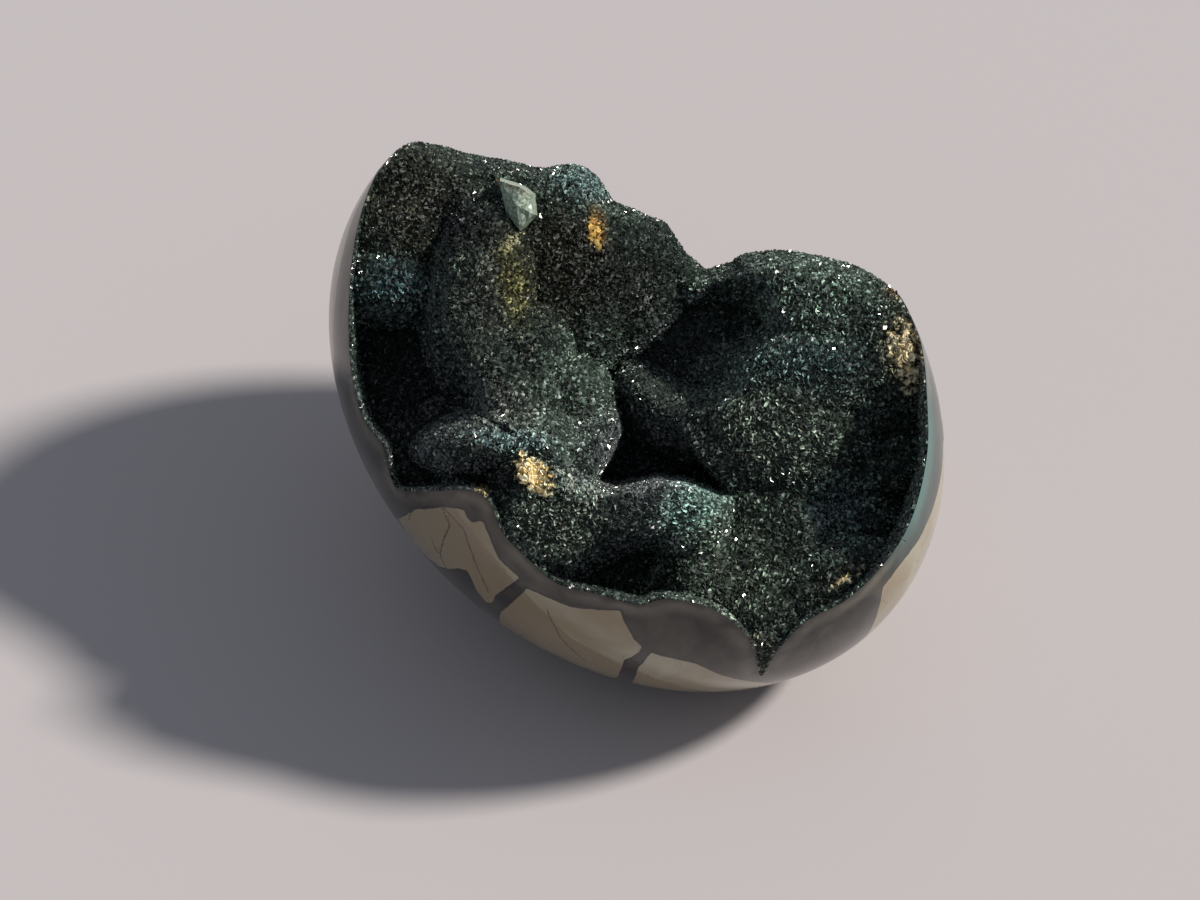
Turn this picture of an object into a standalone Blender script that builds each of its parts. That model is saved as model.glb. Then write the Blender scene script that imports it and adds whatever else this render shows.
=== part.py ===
# A septarian nodule: an ovoid of stone, ground and polished outside and open on top, whose
# deep irregular hollow is lined with one crust of dark green crystals.
# +X runs along the ovoid toward its lower end and +Z is up. The origin is under the middle of
# the object, on the surface that it stands on.

import math

import bmesh
import bpy
import numpy as np
from mathutils import Matrix, Vector

# Sizes are in millimetres, and MM makes them the metres that the model is built in.
MM = 0.001

# The ovoid. Its long axis leans down toward +X, and a flat foot is ground under it.
LONG_HALF = 85.8
SHORT_HALF = 67.2
LEAN = math.radians(16.5)
FOOT_RADIUS = 27.0
OVOID_MIDDLE = (0.0, 0.0)
OVOID_DETAIL = 5

# The hollow opens along one direction. Everything about it is measured from the ovoid's middle
# in the frame of that opening: across, up the opening, and out of it toward the open side.
OPENING_TURN = math.radians(42.7)
OPENING_LIFT = math.radians(45.0)

# The crust's crystals are facets on a lattice whose points are shifted and raised by chance.
# The stone under it is a coarser bed, lower than the crust's top by its thickness anywhere
# within its reach.
CRUST_THICKNESS = 2.5
CRUST_REACH = 3.0
GAP = 0.3
CRYSTAL_PITCH = 2.95
CRYSTAL_SHIFT = 0.6
CRYSTAL_RISE = 1.3
CRYSTAL_SEED = 11
BED_PITCH = 6.0
BED_DIRECTIONS = 8

# Each surface in the hollow is drawn over this much of the opening's plane, and the block above
# it reaches out to the cap.
FIELD_HALF = (82.0, 78.0)
FIELD_CAP = 90.0
FIELD_MARGIN = 3.0
PRISM_HALF = 135.0
OUTLINE_STEPS = 3
CURVE_WELD = 0.00001

STONE_COLOR = (0.30, 0.28, 0.24)
STONE_ROUGHNESS = 0.2
CRUST_COLOR = (0.05, 0.08, 0.07)
CRUST_ROUGHNESS = 0.35

# The polished edge of the opening, as (across, up), from the far left round the near side.
RIM = (
    (-59.5, 63.5), (-64, 55.5), (-67.5, 46.5), (-70, 35), (-71, 21.5), (-71, 10), (-70, 1.5),
    (-67, -8.5), (-62, -15), (-59.5, -24.5), (-51.5, -25.5), (-41.5, -25), (-36, -27.5),
    (-32.5, -35.5), (-25, -43), (-19, -48), (-9, -50.5), (1, -53), (7, -51.5), (18, -53.5),
    (26, -59.5), (29, -65), (31, -71.5), (34.5, -65), (42, -57), (51, -52.5), (58.5, -46),
    (65.5, -37), (69.5, -27.5), (72, -15), (72, -3.5), (71.5, 7), (70, 14.5), (66, 23),
    (62.5, 29.5),
)
# The broken far edge, from the same end, and corners far outside it.
FAR_EDGE = (
    (-59.5, 63.5), (-55, 63.5), (-51.5, 62), (-44, 59.5), (-34, 57.5), (-24, 55.5), (-19, 56.5),
    (-14.5, 56), (-11, 53.5), (-8, 49), (-6, 46.5), (-1.5, 45.5), (5, 44), (8, 42.5), (11, 38),
    (13, 34.5), (15.5, 31), (17.5, 28.5), (20.5, 29), (26, 30.5), (27.5, 32), (31.5, 33),
    (37.5, 34), (43.5, 34), (53.5, 32.5), (58.5, 31), (62.5, 29.5),
)
BEYOND_FAR_EDGE = ((95, 45), (95, 110), (-95, 110), (-72, 72))
# How the lining falls away past the far edge, and how it meets the polished rim: a wall of
# crystals inside it, whose top is held below the ovoid's face.
FAR_INSET = 3.0
FAR_SHOULDER = 2.5
FAR_STEEPNESS = 9.0
RIM_DROP = 0.5
RIM_CLEAR = 4.3
RIM_STEEPNESS = 3.5
RIM_WALL_STEEPNESS = 25.0

# The lobes of the lining: across, up, half length, half width, turn in degrees, how far out the
# top is, slope of the top across and up, and how far it falls by its edge.
LOBES = {
    "upper left": (-56, 53, 14, 15, -10, 1.5, -0.30, -0.25, 4.5),
    "left": (-59.5, 39, 10.5, 9.5, 0, 9, -0.40, -0.20, 4.5),
    "left ledge": (-62, 26.5, 11, 7.5, -8, 15.5, -0.35, -0.10, 7.5),
    "small hollow floor": (-43.5, 43, 14, 9.5, -10, -10.5, -0.10, -0.20, 4.5),
    "far left rim": (-39.5, 55.5, 16.5, 6.5, -8, -10, -0.20, -0.20, 6),
    "far middle rim": (-24, 50.5, 13, 8.5, -5, -14.5, 0.0, -0.20, 4.5),
    "far knob": (-14, 51, 7.5, 7.5, 0, -11.5, -0.20, -0.30, 6),
    "crest shoulder": (-38.5, 25.5, 8, 15.5, -5, 21, -0.35, -0.30, 5),
    "upper fold": (-28, 9.5, 9, 10, -30, 19, -0.50, -0.35, 8.5),
    "right fold": (-15.5, -4, 9, 13, 20, 12.5, -0.40, -0.40, 15),
    "lower fold": (-27.5, -4.5, 9.5, 9.5, -20, 24.5, -0.50, -0.40, 8.5),
    "streak": (-31, 27, 5, 12.5, 0, 10, -0.30, -0.20, 7.5),
    "wall left": (-17.5, 30.5, 13.5, 18.5, 0, -5, -0.35, -0.10, 4),
    "wall right": (-4, 25.5, 16.5, 16, -20, -19, -0.50, -0.20, 5),
    "wall top": (5, 37, 13, 11.5, -35, -31, -0.30, -0.40, 5.5),
    "right lobe": (49.5, 20.5, 16, 12.5, -4, 3, 0.20, -0.50, 4.5),
    "right rim": (63.5, 10.5, 10.5, 11, 0, 12.5, 0.30, -0.30, 5),
    "right crest": (45, 2, 19.5, 9, 6, 15, 0.05, -0.15, 5),
    "right slope": (36.5, -10.5, 18, 15, 20, 16.5, 0.05, -0.10, 5.5),
    "right slope foot": (22.5, -17, 11, 12, 30, 12.5, -0.05, -0.20, 6.5),
    "right step": (62.5, -18.5, 12.5, 5.5, 5, 10, 0.20, -0.20, 5.5),
    "right pit floor": (62.5, -5.5, 11.5, 11.5, 0, 1.5, 0.30, -0.10, 5),
    "lower right floor": (55, -33, 14.5, 11.5, 40, 2, 0.30, -0.40, 4.5),
    "lower right bump": (57.5, -33, 6, 6.5, 40, 9, 0.30, -0.40, 5),
    "front right": (46, -50, 14, 7.5, 15, 33, 0.10, -0.60, 4),
    "front slope": (33, -42, 13, 30, 0, 24, -0.10, -0.68, 4.5),
    "front knob": (13, -32, 9, 8.5, 20, 40, -0.40, -0.30, 10),
    "front knob foot": (19.5, -47, 10, 13.5, 20, 32, -0.60, -0.50, 5.5),
    "front pit floor": (-9, -42.5, 16.5, 9, 25, 26, -0.10, -0.30, 4.5),
    "middle pit floor": (3.5, -19.5, 15, 8.5, 0, -17.5, 0.0, -0.30, 6),
    "left hollow floor": (-59, -0.5, 13, 25, 0, -5, -0.20, -0.30, 4),
    "left hollow foot": (-49, -17, 13.5, 10, 0, 14, 0.20, -0.50, 4.5),
    "near flat": (-20, -31.5, 17, 9.5, 27, 51, 0.10, 0.02, 4.5),
    "near dimple": (-37.5, -20, 8.5, 6, 0, 35, 0.20, -0.20, 6),
    "near patch": (-24, -21, 10, 7.5, -40, 50.5, 0.08, 0.0, 4.5),
    "notch slope": (27, 28.5, 11, 6, 0, -7, 0.80, -0.20, 3),
    "near point": (31, -61, 11, 12, 0, 40, 0.0, -0.40, 4.5),
    "near bump": (-34, -14, 11, 4.5, 4, 47.5, -0.10, -0.5, 5),
}
# Ridges: crest points (across, up, out), how round the crest is, and the slope on its left and
# right side, walking along it.
RIDGES = {
    "left crest": (
        ((-41.5, 36, 15.5), (-45, 31.5, 19.5), (-45.5, 22, 24), (-44.5, 14.5, 26),
         (-41, 8, 29), (-37, 3, 30.5), (-34.5, -3, 32), (-31.5, -8.5, 35)),
        2.0, 0.8, 7.0,
    ),
    "near crest": (
        ((-30, -11, 42), (-26, -12.5, 46.5), (-19, -17.5, 51), (-14, -23, 52),
         (-9.5, -27, 52.5), (-4.5, -27.5, 51.5), (1, -26.5, 49.5), (5.5, -25, 46.5),
         (11, -27, 42.5)),
        2.0, 8.0, 0.12,
    ),
}
# The low crest between the pit and the hole, in the same form.
MIDDLE_CREST = (
    ((0, -0.5, -11), (4, -4.5, -3), (10, -8, 0), (16, -9, 5), (23.5, -7.5, 10)),
    1.5, 3.0, 3.0,
)
# Pits cut into the lobes: the outline of the edge, the greatest depth and how steeply it falls.
PITS = {
    "near pit": (
        (
            (-8.4, 5.4), (-6.4, -0.1), (-5.4, -10.6), (-8.1, -16.1), (-11.9, -21.6),
            (-11.4, -25.6), (-4.6, -27.1), (2.4, -25.3), (5.4, -24.3), (13.6, -25.6),
            (20.6, -28.1), (25.6, -27.3), (21.6, -22.1), (16.9, -17.1), (14.1, -12.6),
            (10.4, -8.1), (6.1, -4.3), (1.1, 0.7), (-3.9, 5.7),
        ),
        100.0, 30.0,
    ),
    "hole": (
        (
            (17.1, 24.9), (5.4, 14.4), (-5.9, 7.4), (-8.4, 5.4), (-3.9, 5.7), (1.1, 0.7),
            (6.1, -4.3), (10.4, -8.1), (18.6, -6.1), (26.9, -1.8), (28.6, 4.9), (35.4, 11.4),
            (40.4, 14.4), (35.6, 21.4), (34.1, 28.2), (27.4, 27.9), (21.1, 26.9),
        ),
        20.0, 4.0,
    ),
}
# The lowest the lining goes, how round the lobes and ridges meet, how far out a lobe goes on
# falling, and how far beside a crest its fall grows steep.
HOLLOW_FLOOR = -32.5
LOBE_BLEND = 2.0
LOBE_FAR = 3.0
RIDGE_BLEND = 1.5
RIDGE_REACH = 4.0

# The broken pale crystal that stands in the hollow: the middle of its face, its half sizes
# across, up and out, and its turns in degrees.
PALE_CRYSTAL_AT = (-29.4, 45.2, -4.0)
PALE_CRYSTAL_HALF = (4.4, 6.6, 10.0)
PALE_CRYSTAL_TURN = (-14, 16, 10)
PALE_CRYSTAL_SIDES = 6
PALE_CRYSTAL_TAPER = 0.82


def ovoid_axis():
    """The direction of the ovoid's long axis."""
    return Vector((math.cos(LEAN), 0.0, -math.sin(LEAN)))


def half_height():
    """How far the whole ovoid would reach below its middle."""
    return math.hypot(LONG_HALF * math.sin(LEAN), SHORT_HALF * math.cos(LEAN))


def foot_depth():
    """How much is ground off the bottom for a foot of the radius asked for."""
    along = LONG_HALF * SHORT_HALF / half_height()
    share = FOOT_RADIUS / math.sqrt(along * SHORT_HALF)
    return half_height() * (1.0 - math.sqrt(1.0 - share * share))


def ovoid_middle():
    """The ovoid's middle, with the foot at height zero."""
    return Vector((OVOID_MIDDLE[0], OVOID_MIDDLE[1], half_height() - foot_depth()))


def opening_turn():
    """The turn from the opening's frame to the model's frame."""
    across = Vector((math.cos(OPENING_TURN), math.sin(OPENING_TURN), 0.0))
    out = Vector((
        math.sin(OPENING_TURN) * math.cos(OPENING_LIFT),
        -math.cos(OPENING_TURN) * math.cos(OPENING_LIFT),
        math.sin(OPENING_LIFT),
    ))
    up = out.cross(across)
    return Matrix((across, up, out)).transposed()


def opening_matrix():
    """Places an object that is modelled in the opening's frame."""
    return Matrix.Translation(ovoid_middle() * MM) @ opening_turn().to_4x4()


def ovoid_face(across, up):
    """How far out the ovoid's near side is at each place across the opening."""
    axis = np.array(opening_turn().inverted() @ ovoid_axis())
    along = np.outer(axis, axis)
    form = (np.eye(3) - along) / SHORT_HALF**2 + along / LONG_HALF**2
    linear = 2.0 * (form[0, 2] * across + form[1, 2] * up)
    rest = form[0, 0] * across**2 + 2.0 * form[0, 1] * across * up + form[1, 1] * up**2 - 1.0
    inside = np.maximum(linear**2 - 4.0 * form[2, 2] * rest, 0.0)
    return (np.sqrt(inside) - linear) / (2.0 * form[2, 2])


def smooth_line(points):
    """A round line through the points."""
    last = len(points) - 1
    line = []
    for index in range(last):
        four = [points[min(max(index + offset, 0), last)] for offset in (-1, 0, 1, 2)]
        before, start, end, after = (np.array(point, float) for point in four)
        for step in range(OUTLINE_STEPS):
            share = step / OUTLINE_STEPS
            line.append(0.5 * (
                2.0 * start
                + (end - before) * share
                + (2.0 * before - 5.0 * start + 4.0 * end - after) * share**2
                + (3.0 * start - before - 3.0 * end + after) * share**3
            ))
    line.append(np.array(points[last], float))
    return line


def depth_inside(across, up, outline):
    """The distance to a closed outline, above zero inside it."""
    distance = np.full(across.shape, np.inf)
    inside = np.zeros(across.shape, bool)
    for start, end in zip(outline, outline[1:] + outline[:1]):
        run = end - start
        share = ((across - start[0]) * run[0] + (up - start[1]) * run[1]) / (run @ run)
        share = np.clip(share, 0.0, 1.0)
        beside = np.hypot(across - start[0] - share * run[0], up - start[1] - share * run[1])
        distance = np.minimum(distance, beside)
        crosses = (start[1] > up) != (end[1] > up)
        if run[1] != 0.0:
            inside ^= crosses & (across < start[0] + run[0] * (up - start[1]) / run[1])
    return np.where(inside, distance, -distance)


def opening_outline():
    """The rim on the near side, and a wide line past the far side, where nothing is left."""
    return smooth_line(RIM) + [np.array(place, float) for place in BEYOND_FAR_EDGE]


def far_outline():
    """The region past the broken far edge."""
    return smooth_line(FAR_EDGE) + [np.array(place, float) for place in BEYOND_FAR_EDGE]


def smooth_max(first, second, blend):
    """The higher of two surfaces, rounded where they meet."""
    share = np.clip(0.5 + 0.5 * (first - second) / blend, 0.0, 1.0)
    return second + (first - second) * share + blend * share * (1.0 - share)


def lobe_height(across, up, lobe):
    """A lobe: a sloping top that falls ever faster away from its middle."""
    at_across, at_up, half_length, half_width, turn, top, slope_across, slope_up, fall = lobe
    turn = math.radians(turn)
    right = across - at_across
    ahead = up - at_up
    along = (right * math.cos(turn) + ahead * math.sin(turn)) / half_length
    beside = (ahead * math.cos(turn) - right * math.sin(turn)) / half_width
    radius = np.minimum(np.hypot(along, beside), LOBE_FAR)
    return top + slope_across * right + slope_up * ahead - fall * radius**3


def ridge_height(across, up, ridge):
    """A ridge: a crest line with a slope of its own on each side."""
    crest, roundness, slope_left, slope_right = ridge
    height = np.full(across.shape, -np.inf)
    for start, end in zip(crest, crest[1:]):
        run_across = end[0] - start[0]
        run_up = end[1] - start[1]
        right = across - start[0]
        ahead = up - start[1]
        share = (right * run_across + ahead * run_up) / (run_across**2 + run_up**2)
        share = np.clip(share, 0.0, 1.0)
        off_across = right - share * run_across
        off_up = ahead - share * run_up
        on_left = run_across * off_up - run_up * off_across > 0.0
        slope = np.where(on_left, slope_left, slope_right)
        beside = np.sqrt(off_across**2 + off_up**2 + roundness**2) - roundness
        fall = slope * beside + (beside / RIDGE_REACH) ** 3
        height = np.maximum(height, start[2] + share * (end[2] - start[2]) - fall)
    return height


def pit_depth(across, up, pit):
    """How deep a pit is cut at each place."""
    outline, deepest, steepness = pit
    inside = depth_inside(across, up, [np.array(place, float) for place in outline])
    return np.clip(steepness * inside, 0.0, deepest)


def lining_height(across, up):
    """How far out the lining's surface is, without its crystals."""
    height = np.full(across.shape, HOLLOW_FLOOR)
    for lobe in LOBES.values():
        height = smooth_max(height, lobe_height(across, up, lobe), LOBE_BLEND)
    for ridge in RIDGES.values():
        height = smooth_max(height, ridge_height(across, up, ridge), RIDGE_BLEND)
    for pit in PITS.values():
        carved = np.maximum(height - pit_depth(across, up, pit), HOLLOW_FLOOR)
        height = np.minimum(height, carved)
    height = smooth_max(height, ridge_height(across, up, MIDDLE_CREST), RIDGE_BLEND)
    inside_rim = depth_inside(across, up, opening_outline())
    face = ovoid_face(across, up)
    height = smooth_max(height, face - RIM_WALL_STEEPNESS * inside_rim, LOBE_BLEND)
    height = np.minimum(height, face - RIM_STEEPNESS * np.clip(inside_rim, -RIM_CLEAR, RIM_DROP))
    past_edge = depth_inside(across, up, far_outline()) + FAR_INSET
    past_edge = 0.5 * (past_edge + np.hypot(past_edge, FAR_SHOULDER))
    return height - FAR_STEEPNESS * past_edge


def bed_height(across, up):
    """How far out the crust's underside is: below every nearby point of the lining."""
    height = lining_height(across, up)
    for reach in (0.5 * CRUST_REACH, CRUST_REACH):
        for step in range(BED_DIRECTIONS):
            angle = 2.0 * math.pi * step / BED_DIRECTIONS
            near = lining_height(across + reach * math.cos(angle), up + reach * math.sin(angle))
            height = np.minimum(height, near)
    return height - CRUST_THICKNESS


def stone_height(across, up):
    """How far out the stone under the crust is."""
    return bed_height(across, up) - GAP


def make_material(name, color, roughness):
    material = bpy.data.materials.new(name)
    material.use_nodes = True
    shader = material.node_tree.nodes["Principled BSDF"]
    shader.inputs["Base Color"].default_value = (*color, 1.0)
    shader.inputs["Roughness"].default_value = roughness
    return material


def make_object(name, mesh, collection, matrix=None):
    obj = bpy.data.objects.new(name, mesh)
    collection.objects.link(obj)
    if matrix is not None:
        obj.matrix_world = matrix
    return obj


def hide_cutter(obj):
    obj.hide_render = True
    obj.display_type = "WIRE"


def add_boolean(obj, other, operation):
    modifier = obj.modifiers.new(f"{operation.lower()} {other.name}", "BOOLEAN")
    modifier.operation = operation
    modifier.object = other
    modifier.solver = "EXACT"


def ovoid_mesh():
    """The whole ovoid, with its middle at its own origin."""
    model = bmesh.new()
    bmesh.ops.create_icosphere(model, subdivisions=OVOID_DETAIL, radius=1.0)
    stretch = Matrix.Diagonal((LONG_HALF * MM, SHORT_HALF * MM, SHORT_HALF * MM, 1.0))
    model.transform(Matrix.Rotation(LEAN, 4, "Y") @ stretch)
    mesh = bpy.data.meshes.new("ovoid")
    model.to_mesh(mesh)
    model.free()
    mesh.shade_smooth()
    return mesh


def field_solid(name, pitch, height_at, margin=0.0, shift=0.0, rise=0.0):
    """Everything farther out than a height field, up to a flat cap."""
    half = (FIELD_HALF[0] + margin, FIELD_HALF[1] + margin)
    model = bmesh.new()
    columns = round(2.0 * half[0] / pitch)
    rows = round(2.0 * half[1] / pitch)
    bmesh.ops.create_grid(model, x_segments=columns, y_segments=rows, size=1.0)
    chance = np.random.default_rng(CRYSTAL_SEED)
    places = np.array([vertex.co[:2] for vertex in model.verts]) * half
    inner = np.array([not vertex.is_boundary for vertex in model.verts])
    places += shift * chance.uniform(-1.0, 1.0, places.shape) * inner[:, None]
    heights = height_at(places[:, 0], places[:, 1])
    heights += rise * chance.uniform(0.0, 1.0, heights.shape)
    for vertex, (across, up), height in zip(model.verts, places, heights):
        vertex.co = Vector((across, up, height)) * MM
    bmesh.ops.triangulate(model, faces=model.faces[:])
    raised = bmesh.ops.extrude_face_region(model, geom=model.faces[:], use_keep_orig=True)
    for part in raised["geom"]:
        if isinstance(part, bmesh.types.BMVert):
            part.co.z = (FIELD_CAP + margin) * MM
    bmesh.ops.recalc_face_normals(model, faces=model.faces[:])
    mesh = bpy.data.meshes.new(name)
    model.to_mesh(mesh)
    model.free()
    return mesh


def opening_prism(name, inset):
    """The opening's outline, drawn in by the inset, as a prism through the whole ovoid."""
    outline = opening_outline()
    area = sum(a[0] * b[1] - b[0] * a[1] for a, b in zip(outline, outline[1:] + outline[:1]))
    curve = bpy.data.curves.new(name, "CURVE")
    curve.dimensions = "2D"
    curve.fill_mode = "BOTH"
    curve.extrude = PRISM_HALF * MM
    spline = curve.splines.new("POLY")
    spline.points.add(len(outline) - 1)
    spline.use_cyclic_u = True
    for index, place in enumerate(outline):
        run = outline[(index + 1) % len(outline)] - outline[index - 1]
        inward = np.array((-run[1], run[0])) / np.hypot(*run) * math.copysign(1.0, area)
        across, up = (place + inset * inward) * MM
        spline.points[index].co = (across, up, 0.0, 1.0)
    guide = make_object(f"{name} curve", curve, bpy.context.scene.collection)
    bpy.context.view_layer.update()
    solid = guide.evaluated_get(bpy.context.evaluated_depsgraph_get())
    mesh = bpy.data.meshes.new_from_object(solid)
    bpy.data.objects.remove(guide)
    model = bmesh.new()
    model.from_mesh(mesh)
    bmesh.ops.remove_doubles(model, verts=model.verts[:], dist=CURVE_WELD)
    bmesh.ops.recalc_face_normals(model, faces=model.faces[:])
    model.to_mesh(mesh)
    model.free()
    return mesh


def ground_mesh():
    """A block whose top is the height of the surface that the nodule stands on."""
    model = bmesh.new()
    bmesh.ops.create_cube(model, size=2.0 * LONG_HALF * MM)
    model.transform(Matrix.Translation((0.0, 0.0, -LONG_HALF * MM)))
    mesh = bpy.data.meshes.new("ground off")
    model.to_mesh(mesh)
    model.free()
    return mesh


def crystal_mesh():
    """The broken crystal: a tapered block with flat sides and a flat face."""
    model = bmesh.new()
    bmesh.ops.create_cone(
        model, cap_ends=True, segments=PALE_CRYSTAL_SIDES,
        radius1=1.0, radius2=PALE_CRYSTAL_TAPER, depth=2.0,
    )
    model.transform(Matrix.Diagonal((*[half * MM for half in PALE_CRYSTAL_HALF], 1.0)))
    mesh = bpy.data.meshes.new("pale crystal")
    model.to_mesh(mesh)
    model.free()
    return mesh


def main():
    for obj in list(bpy.data.objects):
        bpy.data.objects.remove(obj)
    stone = bpy.data.collections.new("septarian_nodule")
    cutters = bpy.data.collections.new("cutters")
    for collection in (stone, cutters):
        bpy.context.scene.collection.children.link(collection)
    opening = opening_matrix()
    middle = Matrix.Translation(ovoid_middle() * MM)

    stone_field = field_solid("above stone", BED_PITCH, stone_height)
    above_stone = make_object("above stone", stone_field, cutters, opening)
    mouth = make_object("mouth", opening_prism("mouth", 0.0), cutters, opening)
    add_boolean(above_stone, mouth, "INTERSECT")

    ground = make_object("ground off", ground_mesh(), cutters)

    nodule = make_object("nodule", ovoid_mesh(), stone, middle)
    add_boolean(nodule, above_stone, "DIFFERENCE")
    add_boolean(nodule, ground, "DIFFERENCE")
    nodule.data.materials.append(make_material("polished stone", STONE_COLOR, STONE_ROUGHNESS))

    lining_field = field_solid(
        "above lining", CRYSTAL_PITCH, lining_height, FIELD_MARGIN, CRYSTAL_SHIFT, CRYSTAL_RISE,
    )
    above_lining = make_object("above lining", lining_field, cutters, opening)
    bed_field = field_solid("above bed", BED_PITCH, bed_height)
    above_bed = make_object("above bed", bed_field, cutters, opening)
    crust_mouth = make_object("crust mouth", opening_prism("crust mouth", GAP), cutters, opening)
    add_boolean(above_bed, crust_mouth, "INTERSECT")
    crust = make_object("druzy_crust", ovoid_mesh(), stone, middle)
    add_boolean(crust, above_lining, "DIFFERENCE")
    add_boolean(crust, above_bed, "INTERSECT")
    crystal = make_object("pale crystal", crystal_mesh(), cutters)
    turn = Matrix.Identity(4)
    for axis, angle in zip("XYZ", PALE_CRYSTAL_TURN):
        turn = Matrix.Rotation(math.radians(angle), 4, axis) @ turn
    crystal.matrix_world = opening @ Matrix.Translation(Vector(PALE_CRYSTAL_AT) * MM) @ turn
    add_boolean(crystal, above_bed, "INTERSECT")
    add_boolean(crust, crystal, "UNION")
    crust.data.materials.append(make_material("green crystals", CRUST_COLOR, CRUST_ROUGHNESS))
    for cutter in cutters.objects:
        hide_cutter(cutter)


main()
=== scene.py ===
# The looks of a hollow septarian nodule: a polished ovoid of pale stone with dark calcite veins,
# open on top onto a deep hollow that is lined with small dark green crystals.

import math

import bmesh
import bpy
import numpy as np
from mathutils import Matrix, Vector
from mathutils.kdtree import KDTree


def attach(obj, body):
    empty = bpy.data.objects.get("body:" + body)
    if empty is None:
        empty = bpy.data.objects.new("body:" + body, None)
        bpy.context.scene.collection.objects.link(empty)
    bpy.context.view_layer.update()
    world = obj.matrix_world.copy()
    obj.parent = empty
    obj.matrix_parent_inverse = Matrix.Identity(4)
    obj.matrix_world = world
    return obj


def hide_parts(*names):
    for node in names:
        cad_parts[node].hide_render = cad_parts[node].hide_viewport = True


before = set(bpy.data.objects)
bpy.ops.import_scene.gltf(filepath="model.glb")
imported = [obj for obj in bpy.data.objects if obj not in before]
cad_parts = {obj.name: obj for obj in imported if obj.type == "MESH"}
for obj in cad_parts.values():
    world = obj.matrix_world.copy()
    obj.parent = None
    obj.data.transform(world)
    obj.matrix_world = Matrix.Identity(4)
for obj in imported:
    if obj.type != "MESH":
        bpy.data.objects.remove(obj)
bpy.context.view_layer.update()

# Sizes are in millimetres, and MM makes them the metres that the scene is built in.
MM = 0.001

# The ovoid. Its long axis leans down toward +X, and a flat foot is ground under it.
LONG_HALF = 85.8
SHORT_HALF = 67.2
LEAN = math.radians(16.5)
FOOT_RADIUS = 27.0

# Places in the hollow are measured from the ovoid's middle, in the frame of the opening:
# across, up the opening, and out of it toward the open side.
OPENING_TURN = math.radians(42.7)
OPENING_LIFT = math.radians(45.0)

# The fine mesh of the stone: half the size of its grid and the grid's pitch.
GRID_HALF = (79.0, 77.0, 84.0)
GRID_PITCH = 1.1
# How its points settle: the steps onto a surface and onto the foot's edge, the longest step, and
# the distance that slopes are taken over.
SURFACE_STEPS = 4
FOOT_STEPS = 12
STEP_LIMIT = 0.5
SLOPE_STEP = 0.05
# How many pitches a point goes to reach the rim or the foot's edge.
RIM_REACH = 2.7
FOOT_REACH = 3.0
# Within this distance of the rim's two ends, a quad no deeper than this is polished.
RIM_END_REACH = 9.0
ON_FACE = 0.5
# Faces that meet at a greater angle have a sharp edge between them.
SHARP_ANGLE = math.radians(28.0)
# The polished face and the crystals stay this far inside the ovoid, as a share and as a length.
FACET_INSET = 0.0009
GROUND_OFF = 0.12

# The polished edge of the opening, as (across, up), from the far left round the near side.
RIM = (
    (-59.5, 63.5), (-64, 55.5), (-67.5, 46.5), (-70, 35), (-71, 21.5), (-71, 10), (-70, 1.5),
    (-67, -8.5), (-62, -15), (-59.5, -24.5), (-51.5, -25.5), (-41.5, -25), (-36, -27.5),
    (-32.5, -35.5), (-25, -43), (-19, -48), (-9, -50.5), (1, -53), (7, -51.5), (18, -53.5),
    (26, -59.5), (29, -65), (31, -71.5), (34.5, -65), (42, -57), (51, -52.5), (58.5, -46),
    (65.5, -37), (69.5, -27.5), (72, -15), (72, -3.5), (71.5, 7), (70, 14.5), (66, 23),
    (62.5, 29.5),
)
# The broken far edge, from the same end, and corners far outside it.
FAR_EDGE = (
    (-59.5, 63.5), (-55, 63.5), (-51.5, 62), (-44, 59.5), (-34, 57.5), (-24, 55.5), (-19, 56.5),
    (-14.5, 56), (-11, 53.5), (-8, 49), (-6, 46.5), (-1.5, 45.5), (5, 44), (8, 42.5), (11, 38),
    (13, 34.5), (15.5, 31), (17.5, 28.5), (20.5, 29), (26, 30.5), (27.5, 32), (31.5, 33),
    (37.5, 34), (43.5, 34), (53.5, 32.5), (58.5, 31), (62.5, 29.5),
)
BEYOND_FAR_EDGE = ((95, 45), (95, 110), (-95, 110), (-72, 72))
OUTLINE_STEPS = 3
# How the lining falls away past the far edge, and how it drops from the rim.
FAR_INSET = 3.0
FAR_SHOULDER = 2.5
FAR_STEEPNESS = 9.0
RIM_DROP = 0.5
RIM_CLEAR = 4.3
RIM_STEEPNESS = 3.5
RIM_WALL_STEEPNESS = 25.0

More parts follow.
